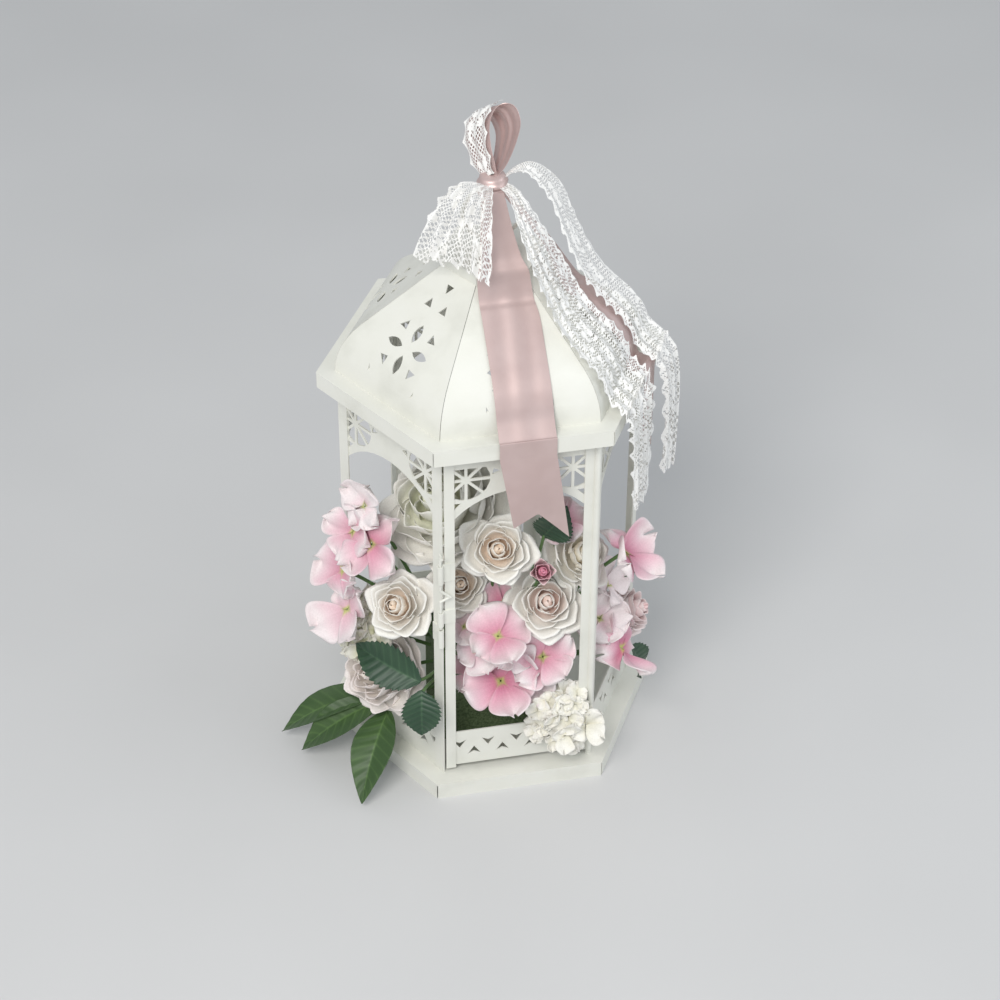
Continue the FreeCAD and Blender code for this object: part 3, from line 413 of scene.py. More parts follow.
# Lace: white cotton-look bobbin lace with a scalloped edge, tied in with the satin.
# A gathered fan spreads over the cap, two long ends fall over the right of the roof, and a strap
# lies over the satin loop.
lace_period, lane_width = 0.026, 0.019
scallop_length, scallop_depth, border_width = 0.0105, 0.0030, 0.0017
blossom_reach, eye_radius, edge_margin = 0.0084, 0.0016, 0.0006
stem_swing, stem_half = 0.0055, 0.0009
net_gap, net_share = 0.0026, 0.16


def has_thread(off, along, width):
    """True where the lace has thread, so far off its middle line and along it: scalloped borders, corded
    blossoms of five lobes in staggered lanes, a sine stem in each lane, and a slanting net."""
    edge = 0.5 * width - edge_margin - scallop_depth * np.abs(np.sin(np.pi * along / scallop_length))
    inside = np.abs(off) < edge
    border = np.abs(off) > edge - border_width
    lane = np.round(off / lane_width)
    dx = ((along / lace_period + 0.5 * lane) % 1.0 - 0.5) * lace_period
    dy = off - lane_width * lane
    radius = np.hypot(dx, dy)
    turn = np.arctan2(dy, dx)
    rim = blossom_reach * (0.74 + 0.26 * np.cos(5 * turn))
    corded = (radius > 0.62 * rim) | (np.abs(np.sin(2.5 * turn)) < 0.30) | (radius < eye_radius)
    blossom = (radius < rim) & corded
    stem = np.abs(dy - stem_swing * np.sin(2 * np.pi * along / lace_period + lane)) < stem_half
    net_a = np.abs(((along + off) / net_gap) % 1.0 - 0.5) < net_share
    net_b = np.abs(((along - off) / net_gap) % 1.0 - 0.5) < net_share
    return inside & (border | blossom | stem | net_a | net_b)


def lace():
    """Lace thread: off-white, soft, with a slubby surface."""
    white = [(0.3, (0.86, 0.855, 0.83)), (0.65, (0.93, 0.925, 0.91))]
    material, tree, shader = mottled("white_lace", scale=420.0, detail=3.0, stops=white, roughness=0.85)
    shader.inputs["Sheen Weight"].default_value = 0.3
    bump(tree, shader, noise(tree, scale=1900.0, detail=2.0), strength=0.5, distance=0.0004)
    return material


lace_thread = lace()


def lace_piece(name, surface, flat_length, width):
    """Lace cut from a fine grid: only the cells that hold thread are kept."""
    rows, columns = surface.shape[:2]
    along = np.linspace(0, flat_length, rows - 1)[:, None]
    across = width * np.linspace(-0.5, 0.5, columns - 1)[None]
    kept = has_thread(across, along, width).ravel()
    obj = piece(name, surface, grid_faces(rows, columns)[kept], lace_thread)
    return obj


lace_rows, lace_columns = 430, 120
lace_lift, lace_sway, lace_turn_over = 0.0034, 0.0015, 0.004


def lace_tail(stations, folds, seed, depth):
    """Lace end on the right face, through stations of (reach, offset, width, height): sine pleats with a
    finer ripple stand on the roof, turn outwards at the eave, and hang to an uneven edge."""
    reach, offset, width, height = smooth_path(stations, lace_rows).T[..., None]
    t = np.linspace(-0.5, 0.5, lace_columns)[None]
    phase = np.linspace(0, 1, lace_rows)[:, None]
    pleat = np.sin(2 * np.pi * folds * t + seed + 1.1 * np.sin(4 * phase + seed))
    ripple = 0.4 * np.sin(2 * np.pi * (folds * 2 + 1) * t + 11 * phase + seed)
    side = offset + width * t + lace_sway * np.sin(21 * phase + seed)
    flat = reach[..., None] * RIGHT_OUT + side[..., None] * RIGHT_ALONG
    fold_height = depth * (1 + pleat + ripple) * np.clip(6 * phase, 0.35, 1)
    lying = roof_under(flat[..., 0], flat[..., 1], lace_lift)
    hanging = np.clip((eave_high.z - height) / lace_turn_over, 0, 1)
    z = np.where(hanging > 0, height, np.maximum(height, lying)) + fold_height * (1 - hanging)
    uneven = 0.010 * np.abs(np.sin(2.5 * np.pi * t + seed)) + 0.012 * t
    z = z - hanging * uneven * np.clip((phase - 0.8) * 5, 0, 1)
    flat = flat + (fold_height * hanging)[..., None] * RIGHT_OUT
    return np.concatenate([flat, z[..., None]], -1)


def metres(millimetres):
    """Millimetres, in which the lists of lace and flowers are written, as metres."""
    return np.asarray(millimetres, float) / 1000


front_stations = metres([
    (7.5, -4, 9, 440), (16, -8, 16, 437), (25, -13, 27, 427), (34, -16, 38, 412),
    (42, -18, 46, 397), (50, -19, 50, 381), (58, -19, 53, 366), (68, -18, 54, 354),
    (78, -18, 57, 344), (88, -19, 58, 332), (95, -20, 60, 318), (105.5, -20, 60, 311),
    (109.5, -20, 58, 303), (110.0, -18, 54, 285), (109.5, -15, 46, 255), (109.0, -12, 38, 222)])
front_lace = lace_piece("lace_front_tail_cloth", lace_tail(front_stations, folds=4.5, seed=0.6, depth=0.0017),
                        flat_length=0.245, width=0.060)
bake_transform(front_lace)
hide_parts("lace_front_tail")

back_stations = metres([
    (5, 2, 9, 441), (13, 8, 14, 447), (21, 13, 19, 447), (29, 17, 24, 438),
    (37, 21, 28, 424), (45, 23, 30, 404), (54, 26, 32, 383), (64, 29, 33, 364),
    (74, 32, 34, 350), (84, 35, 36, 338), (95, 37, 38, 320), (105.5, 38.5, 38, 311),
    (110.5, 39, 38, 303), (113.5, 40, 38, 285), (114.5, 41, 36, 255), (114.0, 42, 32, 217)])
back_lace = lace_piece("lace_back_tail_cloth", lace_tail(back_stations, folds=3.0, seed=2.1, depth=0.0018),
                       flat_length=0.255, width=0.042)
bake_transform(back_lace)
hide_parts("lace_back_tail")

fan_rows, fan_columns = 150, 150
fan_bearing = math.radians(226)
fan_reach, fan_drop, fan_arch = 0.036, 0.0445, 0.012
fan_neck, fan_spread = 0.012, 0.050
broad_folds, fine_folds = 6, 13


def lace_fan():
    """Gathered fan: spreads from the knot to the front left, its sine folds growing towards the edge."""
    s, t = np.meshgrid(np.linspace(0, 1, fan_rows), np.linspace(-0.5, 0.5, fan_columns), indexing="ij")
    reach = knot_reach + fan_reach * s ** 0.9 - 0.004 * np.cos(2 * np.pi * t) * s
    height = knot_middle + 0.0045 - fan_drop * s ** 1.35 + fan_arch * np.sin(np.pi * s)
    width = fan_neck + fan_spread * s ** 0.8
    broad = 0.0035 * s ** 0.8 * np.sin(2 * np.pi * broad_folds * t + 1.2 * np.sin(4 * s))
    fine = 0.0014 * s * np.sin(2 * np.pi * fine_folds * t + 7 * s)
    fold = broad + fine
    ahead = np.array([math.cos(fan_bearing), math.sin(fan_bearing)])
    across = np.array([-ahead[1], ahead[0]])
    flat = (reach + 0.6 * fold)[..., None] * ahead + (width * t)[..., None] * across
    return np.concatenate([flat, (height + fold)[..., None]], -1)


fan = lace_piece("lace_bow_fan", lace_fan(), flat_length=0.060, width=0.075)
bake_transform(fan)
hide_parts("lace_bow")

strap_rows, strap_columns = 150, 80
strap_lift, strap_overlap = 0.0022, 1.12


def loop_lace():
    """Lace over the near strap of the loop: the satin's own path from its top down to the knot, moved
    outwards, a little wider than the satin, with a sine ripple across."""
    near_strap = slice(56, 108, 6)
    middle = smooth_path((loop_left + loop_right)[near_strap] / 2, strap_rows)[:, None]
    half = smooth_path((loop_right - loop_left)[near_strap] / 2, strap_rows)[:, None]
    t = np.linspace(-strap_overlap, strap_overlap, strap_columns)[None, :, None]
    outward = np.cross(half, np.gradient(middle, axis=0))
    outward = outward / np.linalg.norm(outward, axis=-1, keepdims=True)
    outward = outward * np.sign((outward * -LOOP_SIDE).sum(-1).mean())
    return middle + half * t + outward * (strap_lift + 0.0006 * np.sin(9 * t))


strap = lace_piece("lace_bow_strap", loop_lace(), flat_length=0.042, width=0.030)
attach(strap, "ring")

# Floral foam: one block of dry green foam on the base plate, mostly hidden by the flowers.
# Every wire stem is pushed into it.


def foam_finish():
    """Dry foam: mossy green, open-celled."""
    moss = [(0.35, (0.07, 0.11, 0.05)), (0.65, (0.15, 0.21, 0.10))]
    material, tree, shader = mottled("floral_foam", scale=700.0, detail=4.0, stops=moss, roughness=0.95)
    bump(tree, shader, noise(tree, scale=900.0, detail=2.0), strength=0.7, distance=0.0008)
    return material


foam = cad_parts["foam_block"]
foam.data.materials.clear()
foam.data.materials.append(foam_finish())

# Cream roses: cloth petals stamped and curled, set in a spiral round a tight bud on a wire stem.
# Pale cream outside, warming to peach, pink or straw at the heart; the one on the right is pink.


def petal_cloth(name, roughness=0.62):
    """Petal cloth: colour painted along each petal, a woven grain and a soft bloom."""
    material, tree, shader = new_material(name)
    paint = tree.nodes.new("ShaderNodeAttribute")
    paint.attribute_name = "tint"
    blend = tree.nodes.new("ShaderNodeMix")
    blend.data_type = "RGBA"
    blend.blend_type = "MULTIPLY"
    blend.inputs["Factor"].default_value = 1.0
    weave = [(0.3, (0.90, 0.90, 0.89)), (0.7, (1.0, 1.0, 1.0))]
    grain = ramp(tree, noise(tree, scale=900.0, detail=3.0), weave)
    tree.links.new(paint.outputs["Color"], blend.inputs["A"])
    tree.links.new(grain, blend.inputs["B"])
    tree.links.new(blend.outputs["Result"], shader.inputs["Base Color"])
    shader.inputs["Roughness"].default_value = roughness
    shader.inputs["Sheen Weight"].default_value = 0.12
    bump(tree, shader, noise(tree, scale=2200.0, detail=1.0), strength=0.12, distance=0.0003)
    return material


petal_finish = petal_cloth("printed_petals")
petal_thickness = 0.00025
# Every rose petal is one grid: v runs up from its base to its rim, u across it from edge to edge.
petal_v = np.linspace(0, 1, 19)[None, :, None]
petal_u = np.linspace(-1, 1, 21)[None, None, :]


def mix(a, b, share):
    """Colour between two, by a share for each point."""
    share = np.asarray(share)[..., None]
    return np.asarray(a) * (1 - share) + np.asarray(b) * share


def stood(points, place, facing, roll=0.0):
    """Points made about +Z, turned to face a direction and moved to a place."""
    turn = Vector((0, 0, 1)).rotation_difference(Vector(facing)).to_matrix() @ Matrix.Rotation(roll, 3, "Z")
    return points @ np.array(turn).T + np.asarray(place)


ROSE_LAYERS = ((5, 1.0, -0.16, 45, 0.20), (5, 0.81, 0.10, 47, 0.17), (5, 0.62, 0.26, 50, 0.11),
               (4, 0.46, 0.36, 60, 0.07), (4, 0.33, 0.43, 66, 0.03), (3, 0.23, 0.47, 84, 0.0))
PEONY_LAYERS = ((7, 1.0, -0.22, 42, 0.10), (7, 0.90, 0.02, 44, 0.05), (6, 0.74, 0.22, 48, 0.0),
                (6, 0.56, 0.36, 50, -0.05), (5, 0.38, 0.46, 60, -0.05), (4, 0.2, 0.48, 80, -0.03))


def ring_petals(layers, seed, ruffle):
    """Petals in rings, each ring a row of (count, rim reach, rim height, half spread in degrees, curl).
    A petal rises from the base in a cup by a sine, narrows to a pointed tip, and its rim rolls back on both
    sides of the tip. Gives reach and height as shares of the flower's size, the turn, and how far inwards."""
    rng = np.random.default_rng(seed)
    v, u = petal_v, petal_u
    counts = [layer[0] for layer in layers]
    each = np.repeat(np.array(layers, float), counts, axis=0)[:, :, None, None]
    reach, rim_height, half_spread, curl = (each[:, k] for k in (1, 2, 3, 4))
    ring = np.repeat(np.arange(len(layers)), counts)
    order = np.concatenate([np.arange(n) / n for n in counts])
    total = len(ring)
    start = (2 * np.pi * (order + 0.37 * ring) + rng.uniform(-0.16, 0.16, total))[:, None, None]
    inward = (ring / (len(layers) - 1))[:, None, None]
    wobble = rng.uniform(0, 6.28, total)[:, None, None]
    size = rng.uniform(0.88, 1.08, total)[:, None, None]
    base = 0.05 + 0.02 * inward
    cup = np.sin(0.5 * np.pi * np.minimum(1, v * (1.05 + 0.35 * inward))) ** (1.1 - 0.35 * inward)
    outline = 1 - (0.12 + 0.20 * (1 - inward)) * np.abs(u) ** 2.0 * v ** 2
    r = base + (reach * size - base) * cup * outline
    r = r * (1 - 0.35 * np.clip(2.5 * inward - 1.5, 0, 1) * v ** 4)
    floor_height = -0.46 + 0.36 * inward
    z = floor_height + (rim_height - floor_height) * v ** (1.25 + 0.5 * (1 - inward))
    z = z - (0.10 + 0.10 * (1 - inward)) * np.abs(u) ** 2.5 * v ** 2
    beside_tip = np.exp(-((np.abs(u) - 0.55) / 0.35) ** 2)
    roll = np.clip((v - 0.72) / 0.28, 0, 1) ** 2 * (0.35 + 0.65 * beside_tip)
    r = r + 0.55 * curl * roll
    z = z - 0.9 * curl * roll
    tip = np.exp(-(u / 0.22) ** 2) * v ** 6
    r = r + (0.02 + 0.11 * (1 - inward)) * tip
    r = r + ruffle * np.sin(5 * u + wobble) * v ** 2 * (1.2 - inward)
    z = z + 1.5 * ruffle * np.cos(6 * u + 2 * wobble) * v ** 3
    r = r + 0.035 * u * v * (1 - 0.5 * inward)
    opening = 0.55 + 0.45 * np.sin(0.5 * np.pi * np.minimum(1, 1.3 * v))
    turn = start + u * np.radians(half_spread) * opening
    return np.broadcast_arrays(r, z, turn, inward)


def wrapped_heart():
    """The closed heart: one petal wrapped right round a narrowing bud, with two raised laps that climb it.
    Gives what ring_petals gives, and how far up a petal each point is to be coloured."""
    v, u = petal_v, petal_u
    lap = np.abs(np.sin(np.pi * u + 3.0 * v))
    r = 0.13 * np.sqrt(1 - 0.98 * v ** 4) * (1 + 0.25 * lap)
    z = 0.02 + 0.44 * v + 0.08 * lap * v
    turn = np.pi * u + 0 * v
    return (r, z, turn, np.ones_like(r)), 0.3 + 0.4 * lap


def rose_petals(layers, radius, depth, seed, ruffle):
    """A flower's rings of petals closed by its heart. Gives the points, the share outwards in the flower
    and the share up the petal."""
    rings = ring_petals(layers, seed, ruffle)
    heart, heart_climb = wrapped_heart()
    r, z, turn, inward = (np.concatenate(pair) for pair in zip(rings, heart))
    points = np.stack([radius * r * np.cos(turn), radius * r * np.sin(turn), depth * z], -1)
    climb = np.concatenate([np.broadcast_to(petal_v, rings[0].shape), heart_climb])
    return points, 1 - inward, climb


def many_grids(points):
    """Quads of several equal grids of points stored one after another."""
    count, rows, columns = points.shape[:3]
    first = (np.arange(count) * rows * columns)[:, None, None]
    return (grid_faces(rows, columns)[None] + first).reshape(-1, 4)


def flower_piece(node, made_of, parts, thickness=petal_thickness, cloth=petal_finish, body="lantern"):
    """One thin piece from several (points, faces, tint) sets, standing for the CAD node of that name."""
    grids, quads, tints = zip(*parts)
    points = np.concatenate([grid.reshape(-1, 3) for grid in grids])
    first = np.cumsum([0] + [grid.size // 3 for grid in grids[:-1]])
    faces = np.concatenate([faces + start for faces, start in zip(quads, first)])
    colour = np.concatenate([tint.reshape(-1, 3) for tint in tints])
    tint = np.c_[colour, np.ones(len(colour))]
    obj = piece(node + "_" + made_of, points, faces, cloth, tint)
    thin(obj, thickness)
    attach(obj, body)
    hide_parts(node)


STEM_GREEN = (0.10, 0.20, 0.06)
wire_sides = 8
stem_steps, stem_radius, stem_dip = 16, 0.0012, 0.004
stem_start = 0.4


def wire(bends, steps, radius):
    """Green wire curved through a few bends."""
    points = tube(smooth_path(bends, steps), radius, wire_sides)
    return points, grid_faces(steps, wire_sides, False, True), np.broadcast_to(STEM_GREEN, points.shape)


def wire_stem(place, facing, back, root):
    """A flower's wire: leaves the flower along its axis and bends over to the foam."""
    facing = np.asarray(facing, float)
    facing = facing / np.linalg.norm(facing)
    start = place - facing * back
    return wire([start, start * 0.75 + root * 0.25 - facing * stem_dip, root], stem_steps, stem_radius)


TO_FRONT = (-0.1, -0.75, 0.65)
TO_LEFT = (-0.72, -0.52, 0.45)
TO_RIGHT = (0.75, -0.4, 0.5)
CREAM, CREAM_EDGE = (0.95, 0.93, 0.88), (0.95, 0.94, 0.90)
PEACH, ROSE_PINK, STRAW = (0.97, 0.76, 0.58), (0.94, 0.72, 0.64), (0.94, 0.82, 0.58)
PINK_HEART, PINK_BODY, PINK_EDGE = (0.93, 0.66, 0.66), (0.90, 0.78, 0.77), (0.93, 0.84, 0.83)


def bloom(name, place, facing, diameter, depth, root, seed, heart, layers=ROSE_LAYERS, ruffle=0.012,
          body=CREAM, edge=CREAM_EDGE):
    """A rose or peony with its stem, from sizes in millimetres: the heart's colour fades outwards and
    towards each rim, and the rim takes the edge's colour. The seed also turns the flower on its stem."""
    place, root, depth = metres(place), metres(root), metres(depth)
    points, outer, v = rose_petals(layers, metres(diameter) / 2, depth, seed, ruffle)
    warm = np.clip(1.1 - 1.7 * outer, 0, 1) * (0.5 + 0.5 * np.clip(1.25 - v, 0, 1)) + 0.35 * (1 - v) ** 2
    tint = mix(mix(body, heart, np.clip(warm, 0, 1)), edge, np.clip((v - 0.7) * 3.3, 0, 1) * 0.7)
    petals = (stood(points, place, facing, seed), many_grids(points), tint)
    flower_piece(name, "petals", [petals, wire_stem(place, facing, stem_start * depth, root)])


bloom("rose_front_upper", (-11, -75, 197), TO_FRONT, 49, 27, (-12, -40, 92), 1, PEACH)
bloom("rose_front_lower", (23, -77, 147), TO_FRONT, 54, 28, (14, -45, 85), 2, ROSE_PINK)
bloom("rose_front_right", (51, -60, 171), (0.35, -0.6, 0.7), 48, 27, (18, -32, 90), 3, STRAW)
bloom("rose_front_left", (-34, -57, 155), TO_FRONT, 42, 25, (-30, -45, 90), 4, PEACH)
bloom("rose_left", (-80, -73, 157), (-0.45, -0.62, 0.64), 46, 27, (-44, -45, 92), 5, PEACH)
bloom("rose_right", (97, -32, 90), TO_RIGHT, 40, 26, (22, -30, 70), 6, PINK_HEART,
      body=PINK_BODY, edge=PINK_EDGE)

# Peonies: larger cloth flowers with many loose, frilled petals.
# One fills the back of the arrangement, one sits low on the left.
GREEN_HEART, BLUSH_HEART = (0.86, 0.88, 0.64), (0.93, 0.84, 0.76)
BLUSH_BODY, BLUSH_EDGE = (0.93, 0.89, 0.85), (0.94, 0.86, 0.85)
bloom("peony_inside", (-41, -27, 203), (-0.5, -0.4, 0.78), 88, 42, (-22, -22, 92), 7, GREEN_HEART,
      layers=PEONY_LAYERS, ruffle=0.03)
bloom("peony_left", (-91, -50, 80), TO_LEFT, 66, 33, (-44, -35, 70), 8, BLUSH_HEART,
      layers=PEONY_LAYERS, ruffle=0.035, body=BLUSH_BODY, edge=BLUSH_EDGE)

# Pink hydrangea: loose florets of four broad petals, printed pink with pale rims and a green eye.
# Each has a wire stem of its own into the foam; the left group has a round head of small florets too.
PALE_RIM, PINK, DEEP_PINK = (0.91, 0.83, 0.84), (0.76, 0.33, 0.45), (0.62, 0.14, 0.27)
EYE = (0.55, 0.62, 0.20)
floret_petals, floret_rows, floret_columns = 4, 20, 17
petal_step, floret_neck = 0.0006, 0.0004


def floret(place, facing, diameter, roll, seed, root=None, pale=0.0):
    """Four petals in a cross, from sizes in millimetres: each widens by a sine to a round end, cups up, and
    ruffles at its rim. The pink pales to the rim, and the eye is green."""
    rng = np.random.default_rng(seed)
    radius = metres(diameter) / 2
    k = np.arange(floret_petals)[:, None, None]
    v = np.linspace(0.02, 1, floret_rows)[None, :, None]
    u = np.linspace(-1, 1, floret_columns)[None, None, :]
    size = rng.uniform(0.80, 1.14, floret_petals)[:, None, None]
    breadth = rng.uniform(0.52, 0.70, floret_petals)[:, None, None]
    wobble = rng.uniform(0, 6.28, floret_petals)[:, None, None]
    lift = rng.uniform(-0.25, 0.7, floret_petals)[:, None, None]
    half = breadth * radius * size * np.sin(np.pi * np.clip(v, 0, 0.99) ** 1.5) ** 0.62
    out = radius * size * v * (1.06 - 0.10 * np.abs(np.sin(2.4 * u + wobble)) * v)
    side = half * u
    rise = radius * (lift * v ** 1.6 - 0.12 * v ** 4) + 0.22 * half * u ** 2
    rise = rise + radius * 0.20 * np.sin(4.2 * u + wobble) * v ** 2
    rise = rise + radius * 0.08 * np.sin(7 * v + wobble) * u
    rise = rise + radius * 0.06 * np.sin(10 * u + 3 * wobble) * v ** 3
    turn = 0.5 * np.pi * k + roll + rng.uniform(-0.15, 0.15, floret_petals)[:, None, None]
    points = np.stack([out * np.cos(turn) - side * np.sin(turn), out * np.sin(turn) + side * np.cos(turn),
                       rise + petal_step * k + 0 * u], -1)
    rim = np.clip(np.maximum(v ** 2.1, np.abs(u) ** 2.6 * v), 0, 1) + 0 * k
    vein = 0.5 + 0.5 * np.sin(22 * u + 3 * v + wobble)
    pink = mix(DEEP_PINK, PINK, np.clip(1.6 * v + 0.25 * vein, 0, 1))
    tint = mix(pink, PALE_RIM, np.clip(rim * 1.1 + pale, 0, 1))
    tint = mix(EYE, tint, np.clip((v - 0.05 + 0 * u + 0 * k) * 11, 0, 1))
    place = metres(place)
    parts = [(stood(points, place, facing), many_grids(points), tint)]
    if root is not None:
        parts.append(wire_stem(place, facing, floret_neck, metres(root)))
    return parts


def florets(name, group, extra=()):
    """Florets of (place, facing, size, roll, root, paleness) that stand for one CAD node."""
    first_seed = 40 + len(name)
    parts = [part for k, (place, facing, size, roll, root, pale) in enumerate(group)
             for part in floret(place, facing, size, roll, first_seed + k, root, pale)]
    flower_piece(name, "florets", parts + list(extra))


florets("hydrangea_front", [
    ((-13, -86, 129), TO_FRONT, 45, 0.35, (-22, -50, 80), 0.1),
    ((-10, -82, 84), TO_FRONT, 49, 0.1, (-20, -50, 60), 0.0),
    ((20, -82, 101), TO_FRONT, 46, 0.6, (16, -50, 62), 0.15),
    ((12, -86, 78), TO_FRONT, 36, 0.2, (10, -50, 45), 0.75),
    ((-2, -78, 108), TO_FRONT, 38, 0.8, (-4, -50, 62), 0.55),
    ((-26, -72, 108), TO_FRONT, 34, 0.4, (-26, -50, 70), 0.5),
    ((-4, -60, 134), TO_FRONT, 36, 0.9, (-6, -45, 85), 0.0),
    ((38, -58, 200), TO_FRONT, 34, 0.3, (20, -36, 92), 0.1),
    ((-28, -68, 82), TO_FRONT, 36, 0.7, (-24, -50, 60), 0.2),
    ((-33, -66, 124), TO_FRONT, 30, 0.2, (-26, -48, 80), 0.6)])
florets("hydrangea_right", [
    ((80, -68, 86), TO_RIGHT, 50, 0.4, (22, -42, 66), 0.0),
    ((82, -58, 166), TO_RIGHT, 48, 0.9, (22, -38, 92), 0.05),
    ((66, -58, 108), (0.3, -0.7, 0.6), 40, 0.2, (22, -40, 75), 0.7),
    ((74, -46, 128), TO_RIGHT, 36, 0.5, (22, -36, 84), 0.85)])

GOLDEN_ANGLE = 2.39996


def petal_ball(place, facing, size, count, seed, tint_in, tint_out, dome, share):
    """A head of small florets on a dome, each a share of the head's size and facing outwards. The golden
    angle round, and a square root outwards, spread them evenly."""
    rng = np.random.default_rng(seed)
    parts = []
    place = np.asarray(place, float)
    for k in range(count):
        away = math.sqrt((k + 0.5) / count)
        turn = GOLDEN_ANGLE * k
        spot = np.array([away * math.cos(turn), away * math.sin(turn)])
        tilt = np.array([spot[0] * dome, spot[1] * dome, 1.0])
        local = np.array([[spot[0] * size / 2, spot[1] * size / 2, dome * size / 4 * (1 - away ** 2)]])
        at = stood(local, place, facing)[0]
        outward = stood(tilt[None], (0, 0, 0), facing)[0]
        points, faces, tint = floret(at, outward, size * share, rng.uniform(0, 6), seed + k)[0]
        shade = np.linspace(0, 1, floret_rows)[None, :, None] + 0 * tint[..., 0]
        parts.append((points, faces, mix(tint_in, tint_out, np.clip(shade * 1.4, 0, 1))))
    return parts


LIME, LIME_PALE = (0.66, 0.66, 0.42), (0.88, 0.86, 0.78)
left_head_place = (-96, -32, 105)
left_head = petal_ball(left_head_place, TO_LEFT, size=46, count=18, seed=300,
                       tint_in=LIME, tint_out=LIME_PALE, dome=0.9, share=0.40)
left_head.append(wire_stem(metres(left_head_place), TO_LEFT, back=0.004, root=metres((-46, -28, 76))))
florets("hydrangea_left", [
    ((-92, -42, 188), TO_LEFT, 54, 0.2, (-44, -28, 95), 0.1),
    ((-110, -29, 158), TO_LEFT, 48, 0.7, (-46, -20, 92), 0.2),
    ((-110, -38, 130), TO_LEFT, 47, 0.1, (-46, -22, 80), 0.45),
    ((-102, -28, 190), TO_LEFT, 42, 0.5, (-44, -16, 94), 0.25),
    ((-94, -30, 212), TO_LEFT, 40, 0.3, (-44, -20, 95), 0.75)], left_head)

# White hydrangea: a head of small white petals glued over the foot of the door.
# It is built of five lumps of (across, up, height off the door, size) in millimetres, and swings with
# the door.
WHITE_LUMPS = ((31, 56, 7, 36), (24, 46, 5, 24), (36, 66, 5, 24), (24, 67, 7, 26), (32, 44, 6, 28))
WHITE_HEART, WHITE_RIM = (0.82, 0.79, 0.64), (0.94, 0.92, 0.86)
door_face = -91.8
white_parts = []
for k, (across, up, height, size) in enumerate(WHITE_LUMPS):
    place, facing = (across, door_face - height * 0.7, up), (0.15 * (k - 2), -0.85, 0.45)
    white_parts += petal_ball(place, facing, size, count=6, seed=400 + 20 * k,
                              tint_in=WHITE_HEART, tint_out=WHITE_RIM, dome=0.8, share=0.68)
flower_piece("white_hydrangea", "petals", white_parts, body="door")

# Rosebuds: small closed pink buds in green sepals.
# One shows in front, one stands out on the right.
BUD_PINK, BUD_RIM, SEPAL_GREEN = (0.80, 0.30, 0.42), (0.90, 0.70, 0.72), (0.05, 0.13, 0.04)
sepal_count, sepal_rows, sepal_columns = 5, 12, 7
bud_thickness = 0.0002
bud_layers, bud_widening, bud_ruffle = ROSE_LAYERS[3:], 2.2, 0.01


def bud(place, facing, diameter, depth, root, seed):
    """A bud from sizes in millimetres: a tight spiral of few petals in five green sepals, each a narrow
    sine blade wrapped round the bud."""
    place, root, depth, radius = metres(place), metres(root), metres(depth), metres(diameter) / 2
    points, outer, v = rose_petals(bud_layers, bud_widening * radius, depth, seed, bud_ruffle)
    tint = mix(BUD_PINK, BUD_RIM, np.clip(v * outer * 1.3, 0, 1))
    k = np.arange(sepal_count)[:, None, None]
    v = np.linspace(0, 1, sepal_rows)[None, :, None]
    u = np.linspace(-1, 1, sepal_columns)[None, None, :]
    half = 0.42 * radius * np.sin(np.pi * (0.12 + 0.88 * v)) ** 0.8
    r = radius * (0.35 + 0.75 * np.sin(2.2 * v)) + 0 * u + 0 * k
    turn = 2 * np.pi * k / sepal_count + half * u / radius
    z = depth * (-0.5 + 0.75 * v) + 0 * u + 0 * k
    sepals = np.stack([r * np.cos(turn), r * np.sin(turn), z], -1)
    return [(stood(points, place, facing), many_grids(points), tint),
            (stood(sepals, place, facing), many_grids(sepals), np.broadcast_to(SEPAL_GREEN, sepals.shape)),
            wire_stem(place, facing, stem_start * depth, root)]


front_bud = bud((18, -84, 180), TO_FRONT, 14, 21, (8, -48, 92), 11)
right_bud = bud((112, -14, 112), TO_RIGHT, 13, 20, (22, -18, 84), 12)
flower_piece("rosebuds", "petals", front_bud + right_bud, bud_thickness)

# Leaves: printed green cloth on wire; rose leaves with toothed edges and long plain blades.
# They are pushed into the foam beside the flowers.
leaf_cloth = petal_cloth("printed_leaves", roughness=0.45)
leaf_thickness = 0.0003
leaf_rows, leaf_columns = 90, 41
leaf_veins, leaf_teeth = 9, 13
stalk_steps, stalk_radius = 14, 0.0011


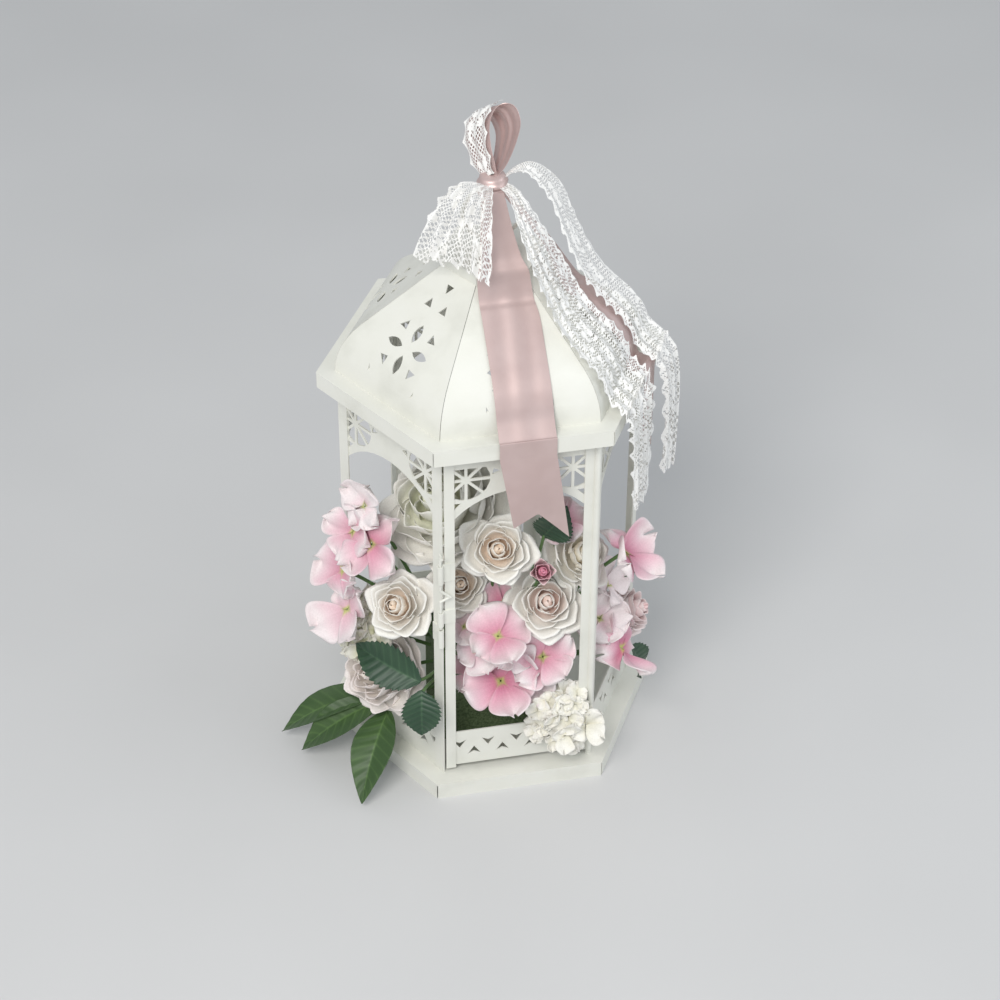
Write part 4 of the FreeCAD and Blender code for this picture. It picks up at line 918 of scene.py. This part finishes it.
def leaf(foot, tip, width, normal, root, droop, seed, tooth, dark, light):
    """Leaf from sizes in millimetres: an oval by a sine along its rib, folded up along the rib, saw teeth
    at the rim, quilted between slanting side veins, with a drooping tip."""
    foot, tip, root, width = metres(foot), metres(tip), metres(root), metres(width)
    rib = tip - foot
    length = np.linalg.norm(rib)
    rib = rib / length
    normal = np.asarray(normal, float)
    normal = normal - rib * (normal @ rib)
    normal /= np.linalg.norm(normal)
    side = np.cross(normal, rib)
    v, u = np.meshgrid(np.linspace(0.0, 1, leaf_rows), np.linspace(-1, 1, leaf_columns), indexing="ij")
    half = width / 2 * np.sin(np.pi * np.clip(v, 0.002, 0.998) ** 0.8) ** 0.85
    saw = 1 + tooth * ((v * leaf_teeth - 0.35 * np.abs(u)) % 1.0 - 0.5) * np.abs(u) ** 6
    lateral = half * u * saw
    rise = width * (0.16 * np.abs(u) ** 1.3 * np.sin(np.pi * v) + 0.03 * np.sin(9 * v + seed) * u)
    rise = rise + length * (0.10 * np.sin(np.pi * v) - droop * v ** 2)
    slant = v * leaf_veins - 1.1 * np.abs(u)
    rise = rise + 0.012 * width * np.abs(np.sin(np.pi * slant))
    points = foot + (v * length)[..., None] * rib + lateral[..., None] * side + rise[..., None] * normal
    vein = np.exp(-(np.abs(u) / 0.05) ** 2) + 0.6 * np.exp(-((slant % 1.0 - 0.5) / 0.09) ** 2)
    tint = mix(dark, light, np.clip(0.75 * vein + 0.18 * np.sin(5 * v + 3 * u + seed), 0, 1))
    stalk = wire([foot + rib * 0.002, foot * 0.7 + root * 0.3, root], stalk_steps, stalk_radius)
    return [(points, grid_faces(leaf_rows, leaf_columns), tint), stalk]


def leaf_group(name, tooth, dark, light, leaves):
    """Leaves of (foot, tip, width, facing, root, droop, seed) that stand for one CAD node."""
    parts = [part for row in leaves for part in leaf(*row, tooth, dark, light)]
    flower_piece(name, "blades", parts, leaf_thickness, leaf_cloth)


ROSE_GREEN, ROSE_VEIN = (0.018, 0.058, 0.028), (0.055, 0.125, 0.06)
BLADE_GREEN, BLADE_VEIN = (0.035, 0.085, 0.018), (0.10, 0.19, 0.05)
leaf_group("rose_leaves", tooth=0.16, dark=ROSE_GREEN, light=ROSE_VEIN, leaves=[
    ((-68, -88, 98), (-108, -50, 108), 30, (-0.55, -0.6, 0.6), (-42, -50, 80), 0.05, 1),
    ((-68, -92, 94), (-70, -103, 62), 27, (-0.2, -0.8, 0.2), (-44, -50, 72), 0.03, 2),
    ((22, -66, 196), (38, -70, 222), 28, (0.1, -0.8, 0.5), (16, -40, 92), 0.03, 3),
    ((96, -38, 60), (104, -34, 26), 24, (0.8, -0.5, 0.3), (22, -34, 60), 0.03, 4)])
leaf_group("long_leaves", tooth=0.0, dark=BLADE_GREEN, light=BLADE_VEIN, leaves=[
    ((-88, -37, 50), (-158, -20, 6), 25, (-0.3, -0.2, 0.8), (-46, -36, 56), -0.02, 5),
    ((-88, -46, 49), (-147, -42, 6), 27, (-0.3, -0.3, 0.8), (-44, -44, 54), -0.02, 6),
    ((-86, -56, 48), (-114, -104, 5), 30, (-0.3, -0.4, 0.8), (-40, -52, 52), -0.02, 7)])

# Floor, light and camera: a pale studio floor, a broad soft key from the front left, a weak fill
# from the right, and the photograph's viewpoint.


def floor_finish():
    """Pale matt floor with a faint mottle."""
    grey = [(0.3, (0.62, 0.62, 0.62)), (0.7, (0.66, 0.66, 0.66))]
    material, _, _ = mottled("studio_floor", scale=3.0, detail=2.0, stops=grey, roughness=0.9)
    return material


half_floor = 4.0
corners = np.array([(-1, -1, 0), (1, -1, 0), (-1, 1, 0), (1, 1, 0)]) * half_floor
floor = piece("floor", corners, np.array([[0, 1, 3, 2]]), floor_finish())

world = bpy.data.worlds.new("studio")
bpy.context.scene.world = world
world.use_nodes = True
sky = world.node_tree.nodes["Background"]
sky.inputs["Color"].default_value = (0.92, 0.96, 1.0, 1.0)
sky.inputs["Strength"].default_value = 0.55


def lamp(name, place, aim, size, power, colour):
    """A square soft lamp aimed at a point."""
    data = bpy.data.lights.new(name, "AREA")
    data.size = size
    data.energy = power
    data.color = colour
    obj = bpy.data.objects.new(name, data)
    bpy.context.scene.collection.objects.link(obj)
    obj.location = place
    obj.rotation_euler = (Vector(aim) - Vector(place)).to_track_quat("-Z", "Y").to_euler()


lamp("key", (-0.9, -1.5, 1.9), aim=(0, 0, 0.22), size=1.0, power=34.0, colour=(1.0, 0.98, 0.95))
lamp("fill", (1.6, -0.9, 1.2), aim=(0, 0, 0.2), size=1.4, power=9.0, colour=(0.93, 0.97, 1.0))

camera_data = bpy.data.cameras.new("photo_view")
camera_data.lens = 96.10
camera_data.sensor_width = 36.0
camera = bpy.data.objects.new("photo_view", camera_data)
bpy.context.scene.collection.objects.link(camera)
look = Matrix(((0.97868, 0.12204, -0.16520), (-0.20533, 0.60131, -0.77218), (0.00510, 0.78964, 0.61355)))
camera.matrix_world = Matrix.Translation((-0.30432, -1.45175, 1.33307)) @ look.to_4x4()
bpy.context.scene.camera = camera
bpy.context.scene.view_settings.view_transform = "Standard"
